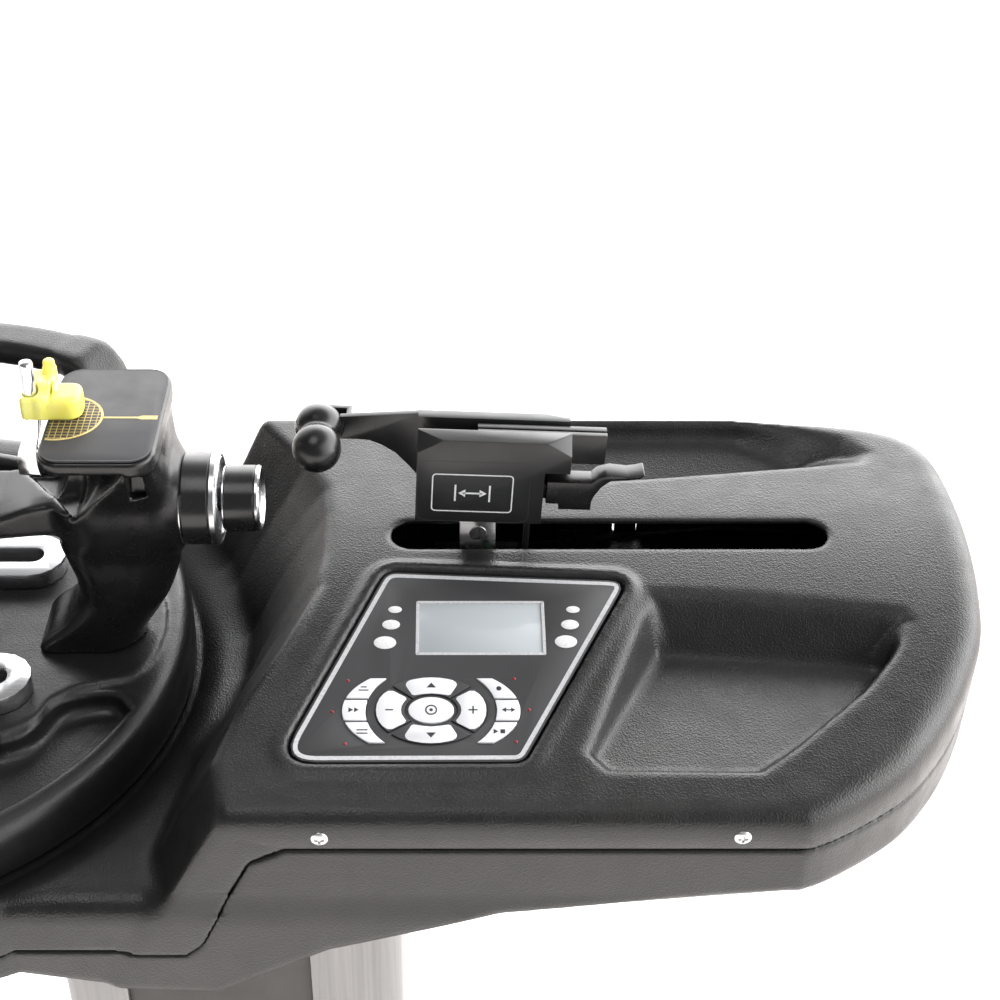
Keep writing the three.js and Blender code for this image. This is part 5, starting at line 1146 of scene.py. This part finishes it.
def label_frame():
    """A thin frame with a plain pull sign, printed on the head's front"""
    shapes = [
        bar(-14.5, 13, 1.1, 12), bar(6, 13, 1.1, 12), bar(-4.3, 13, 11.5, 1.1),
        pointer(-10.6, 13, -4.2, 5.4), pointer(2.1, 13, 4.2, 5.4),
    ]
    edge = ribbon(round_box(-28.6, 19.9, -0.8, 26.8, 2.6, 5), -0.75, 0, 0, 0.12)
    return joined(edge, *[slab(shape, 0, 0.12) for shape in shapes])


cover_line = ribbon(round_box(-37.3, 30, -8.2, 36, 6, 5), -0.28, 0, 0, 0.06)
add_piece("head_label", label_frame(), "head_unit", "print_white", HEAD @ HEAD_FRONT)
add_piece("head_cover_line", cover_line, "head_unit", "plate", HEAD @ HEAD_FRONT)

# Clamps, guides, drive, stand and electrics keep their CAD shapes with rounded edges
for look, slot, *alike in (
    ("steel", "steel", "front_clamp_guide", "rear_clamp_guide"),
    ("anodised", "anodised", "front_clamp_base", "rear_clamp_base"),
    ("steel", "steel", "front_clamp_head", "rear_clamp_head"),
    ("gloss", "black_plastic", "front_clamp_lever", "rear_clamp_lever"),
    ("zinc", "zinc", "chassis"), ("zinc", "steel", "tension_rail"), ("zinc", "zinc", "tension_motor"),
    ("zinc", "steel", "lead_screw"), ("board", "board", "controller_board"),
    ("gloss", "black_plastic", "power_inlet", "power_switch"), ("steel", "steel", "turntable_spindle"),
    ("stand", "stand", "base_plate"), ("alloy", "alloy", "column"), ("cover", "cover", "column_front_cover"),
    ("rubber", "rubber", "front_left_foot", "front_right_foot", "rear_left_foot", "rear_right_foot"),
):
    for node in alike:
        softened(node, look, 0.5)


# Screws
def screw_field(x, y, z):
    """A domed cross-head screw whose head points along +Z"""
    radius = away(x, y)
    dome = smax(away(radius, z, 0, -7.6) - 9.2, radius - 4.9, 0.6)
    dome = smax(dome, -0.4 - z, 0.3)
    along_y = np.maximum(np.abs(x) - 0.62, np.abs(y) - 2.7)
    arm = np.minimum(along_y, np.maximum(np.abs(y) - 0.62, np.abs(x) - 2.7))
    cross = np.maximum(smin(arm, radius - 1.15, 0.4), 0.15 - z)
    return smax(dome, -cross, 0.15)


def slotted_field(x, y, z):
    """A flat pivot screw with one slot"""
    radius = away(x, y)
    head = smax(radius - 5.3, span(z, -0.3, 0.55), 0.3)
    return np.maximum(head, -np.maximum(np.abs(x) - 1.0, 0.02 - z))


screw_mesh = moulded(screw_field, (-5.2, -5.2, -0.7), (5.2, 5.2, 1.9), 0.2 * FINE)
facing_front = Matrix.Rotation(math.pi / 2, 4, "X")
spots = {
    "skirt_screw_left": ((77, FRONT_Y, -52), 0), "skirt_screw_middle": ((306, FRONT_Y, -51), 0),
    "skirt_screw_right": ((449.5, -102, -45), 58),
}
for name, (spot, turn) in spots.items():
    place = DECK @ Matrix.Translation(spot) @ Matrix.Rotation(math.radians(turn), 4, "Z") @ facing_front
    add_piece(name, screw_mesh.copy(), "stand", "screw", place)
slotted = moulded(slotted_field, (-5.6, -5.6, -0.5), (5.6, 5.6, 0.8), 0.2 * FINE)
add_piece("stem_screw", slotted, "carriage_body", "screw",
          DECK @ Matrix.Translation((165.2, -12.0, 5.3)) @ facing_front)

# Floor and world: straight rays see white, and glossy rays the floor's warm bounce and the studio's window
WHITE, WARM = (1, 1, 1, 1), (1, 0.87, 0.8, 1)
FLOOR_REACH, FLOOR_GREY, FLOOR_GLOW, FLOOR_BOUNCE = 9.0, 0.9, 0.45, 1.0
WINDOW_BAND = ((0.56, WHITE), (0.82, (0.12, 0.12, 0.12, 1)))
WINDOW_SIDE, WINDOW_RANGE = (0.75, 0.66, 0), (-0.4, 0.7, 0.25, 6.3)

scene.view_settings.view_transform = "Standard"
corners = [(x * FLOOR_REACH, y * FLOOR_REACH, 0) for x, y in ((-1, -1), (1, -1), (1, 1), (-1, 1))]
floor = placed("floor", mesh_of(corners, [(0, 1, 2, 3)]))
ground = Finish("floor_white", (FLOOR_GREY, FLOOR_GREY, FLOOR_GREY), 0.9)
path = ground.add("LightPath").outputs
glossy = path["Is Glossy Ray"]
tone = ground.add("Mix", {0: glossy, 6: WHITE, 7: WARM}, data_type="RGBA").outputs[2]
strength = ground.ranged(glossy, 0, 1, FLOOR_GLOW, FLOOR_BOUNCE)
glow = ground.add("Emission", {"Color": tone, "Strength": strength}).outputs[0]
matt = ground.shader.outputs[0]
lit = ground.add("AddShader", {0: matt, 1: glow}).outputs[0]
plain = ground.larger(ground.larger(path["Is Camera Ray"], glossy), path["Is Transmission Ray"])
choice = ground.add("MixShader", {0: plain, 1: matt, 2: lit}).outputs[0]
ground.feed(ground.tree.nodes["Material Output"], "Surface", choice)
floor.data.materials.append(ground.material)

world = bpy.data.worlds.new("studio")
scene.world = world
world.use_nodes = True
sky = Graph(world.node_tree)
where = sky.add("TexCoord").outputs["Generated"]
ramp = sky.add("ValToRGB", {0: sky.add("SeparateXYZ", {0: where}).outputs["Z"]})
for element, (place, grey) in zip(ramp.color_ramp.elements, WINDOW_BAND):
    element.position = place
    element.color = grey
facing = sky.add("VectorMath", {0: where, 1: WINDOW_SIDE}, operation="DOT_PRODUCT").outputs["Value"]
window = sky.tree.nodes["Background"]
sky.feed(window, "Color", ramp.outputs["Color"])
sky.feed(window, "Strength", sky.ranged(facing, *WINDOW_RANGE))
backdrop = sky.add("Background", {"Color": WHITE}).outputs[0]
path = sky.add("LightPath").outputs
straight = sky.larger(path["Is Camera Ray"], path["Is Transmission Ray"])
choice = sky.add("MixShader", {0: straight, 1: window.outputs[0], 2: backdrop}).outputs[0]
sky.feed(sky.tree.nodes["World Output"], "Surface", choice)


def soft_lamp(name, spot, aim, size, power):
    data = bpy.data.lights.new(name, "AREA")
    data.energy = power
    data.shape = "RECTANGLE"
    data.size, data.size_y = size
    lamp = placed(name, data)
    lamp.location = spot
    lamp.rotation_euler = (Vector(aim) - Vector(spot)).to_track_quat("-Z", "Y").to_euler()


# Each lamp: name, place and aim in metres, size and watts
for lamp in (
    ("key", (-0.3, -0.6, 2.9), (0, 0, 0.9), (1.0, 1.0), 10),
    ("side", (2.3, -0.2, 1.3), (0.3, 0, 0.9), (1.4, 1.2), 8),
    ("back", (0.2, 2.2, 2.3), (0, 0, 0.95), (2.4, 0.9), 8),
):
    soft_lamp(*lamp)
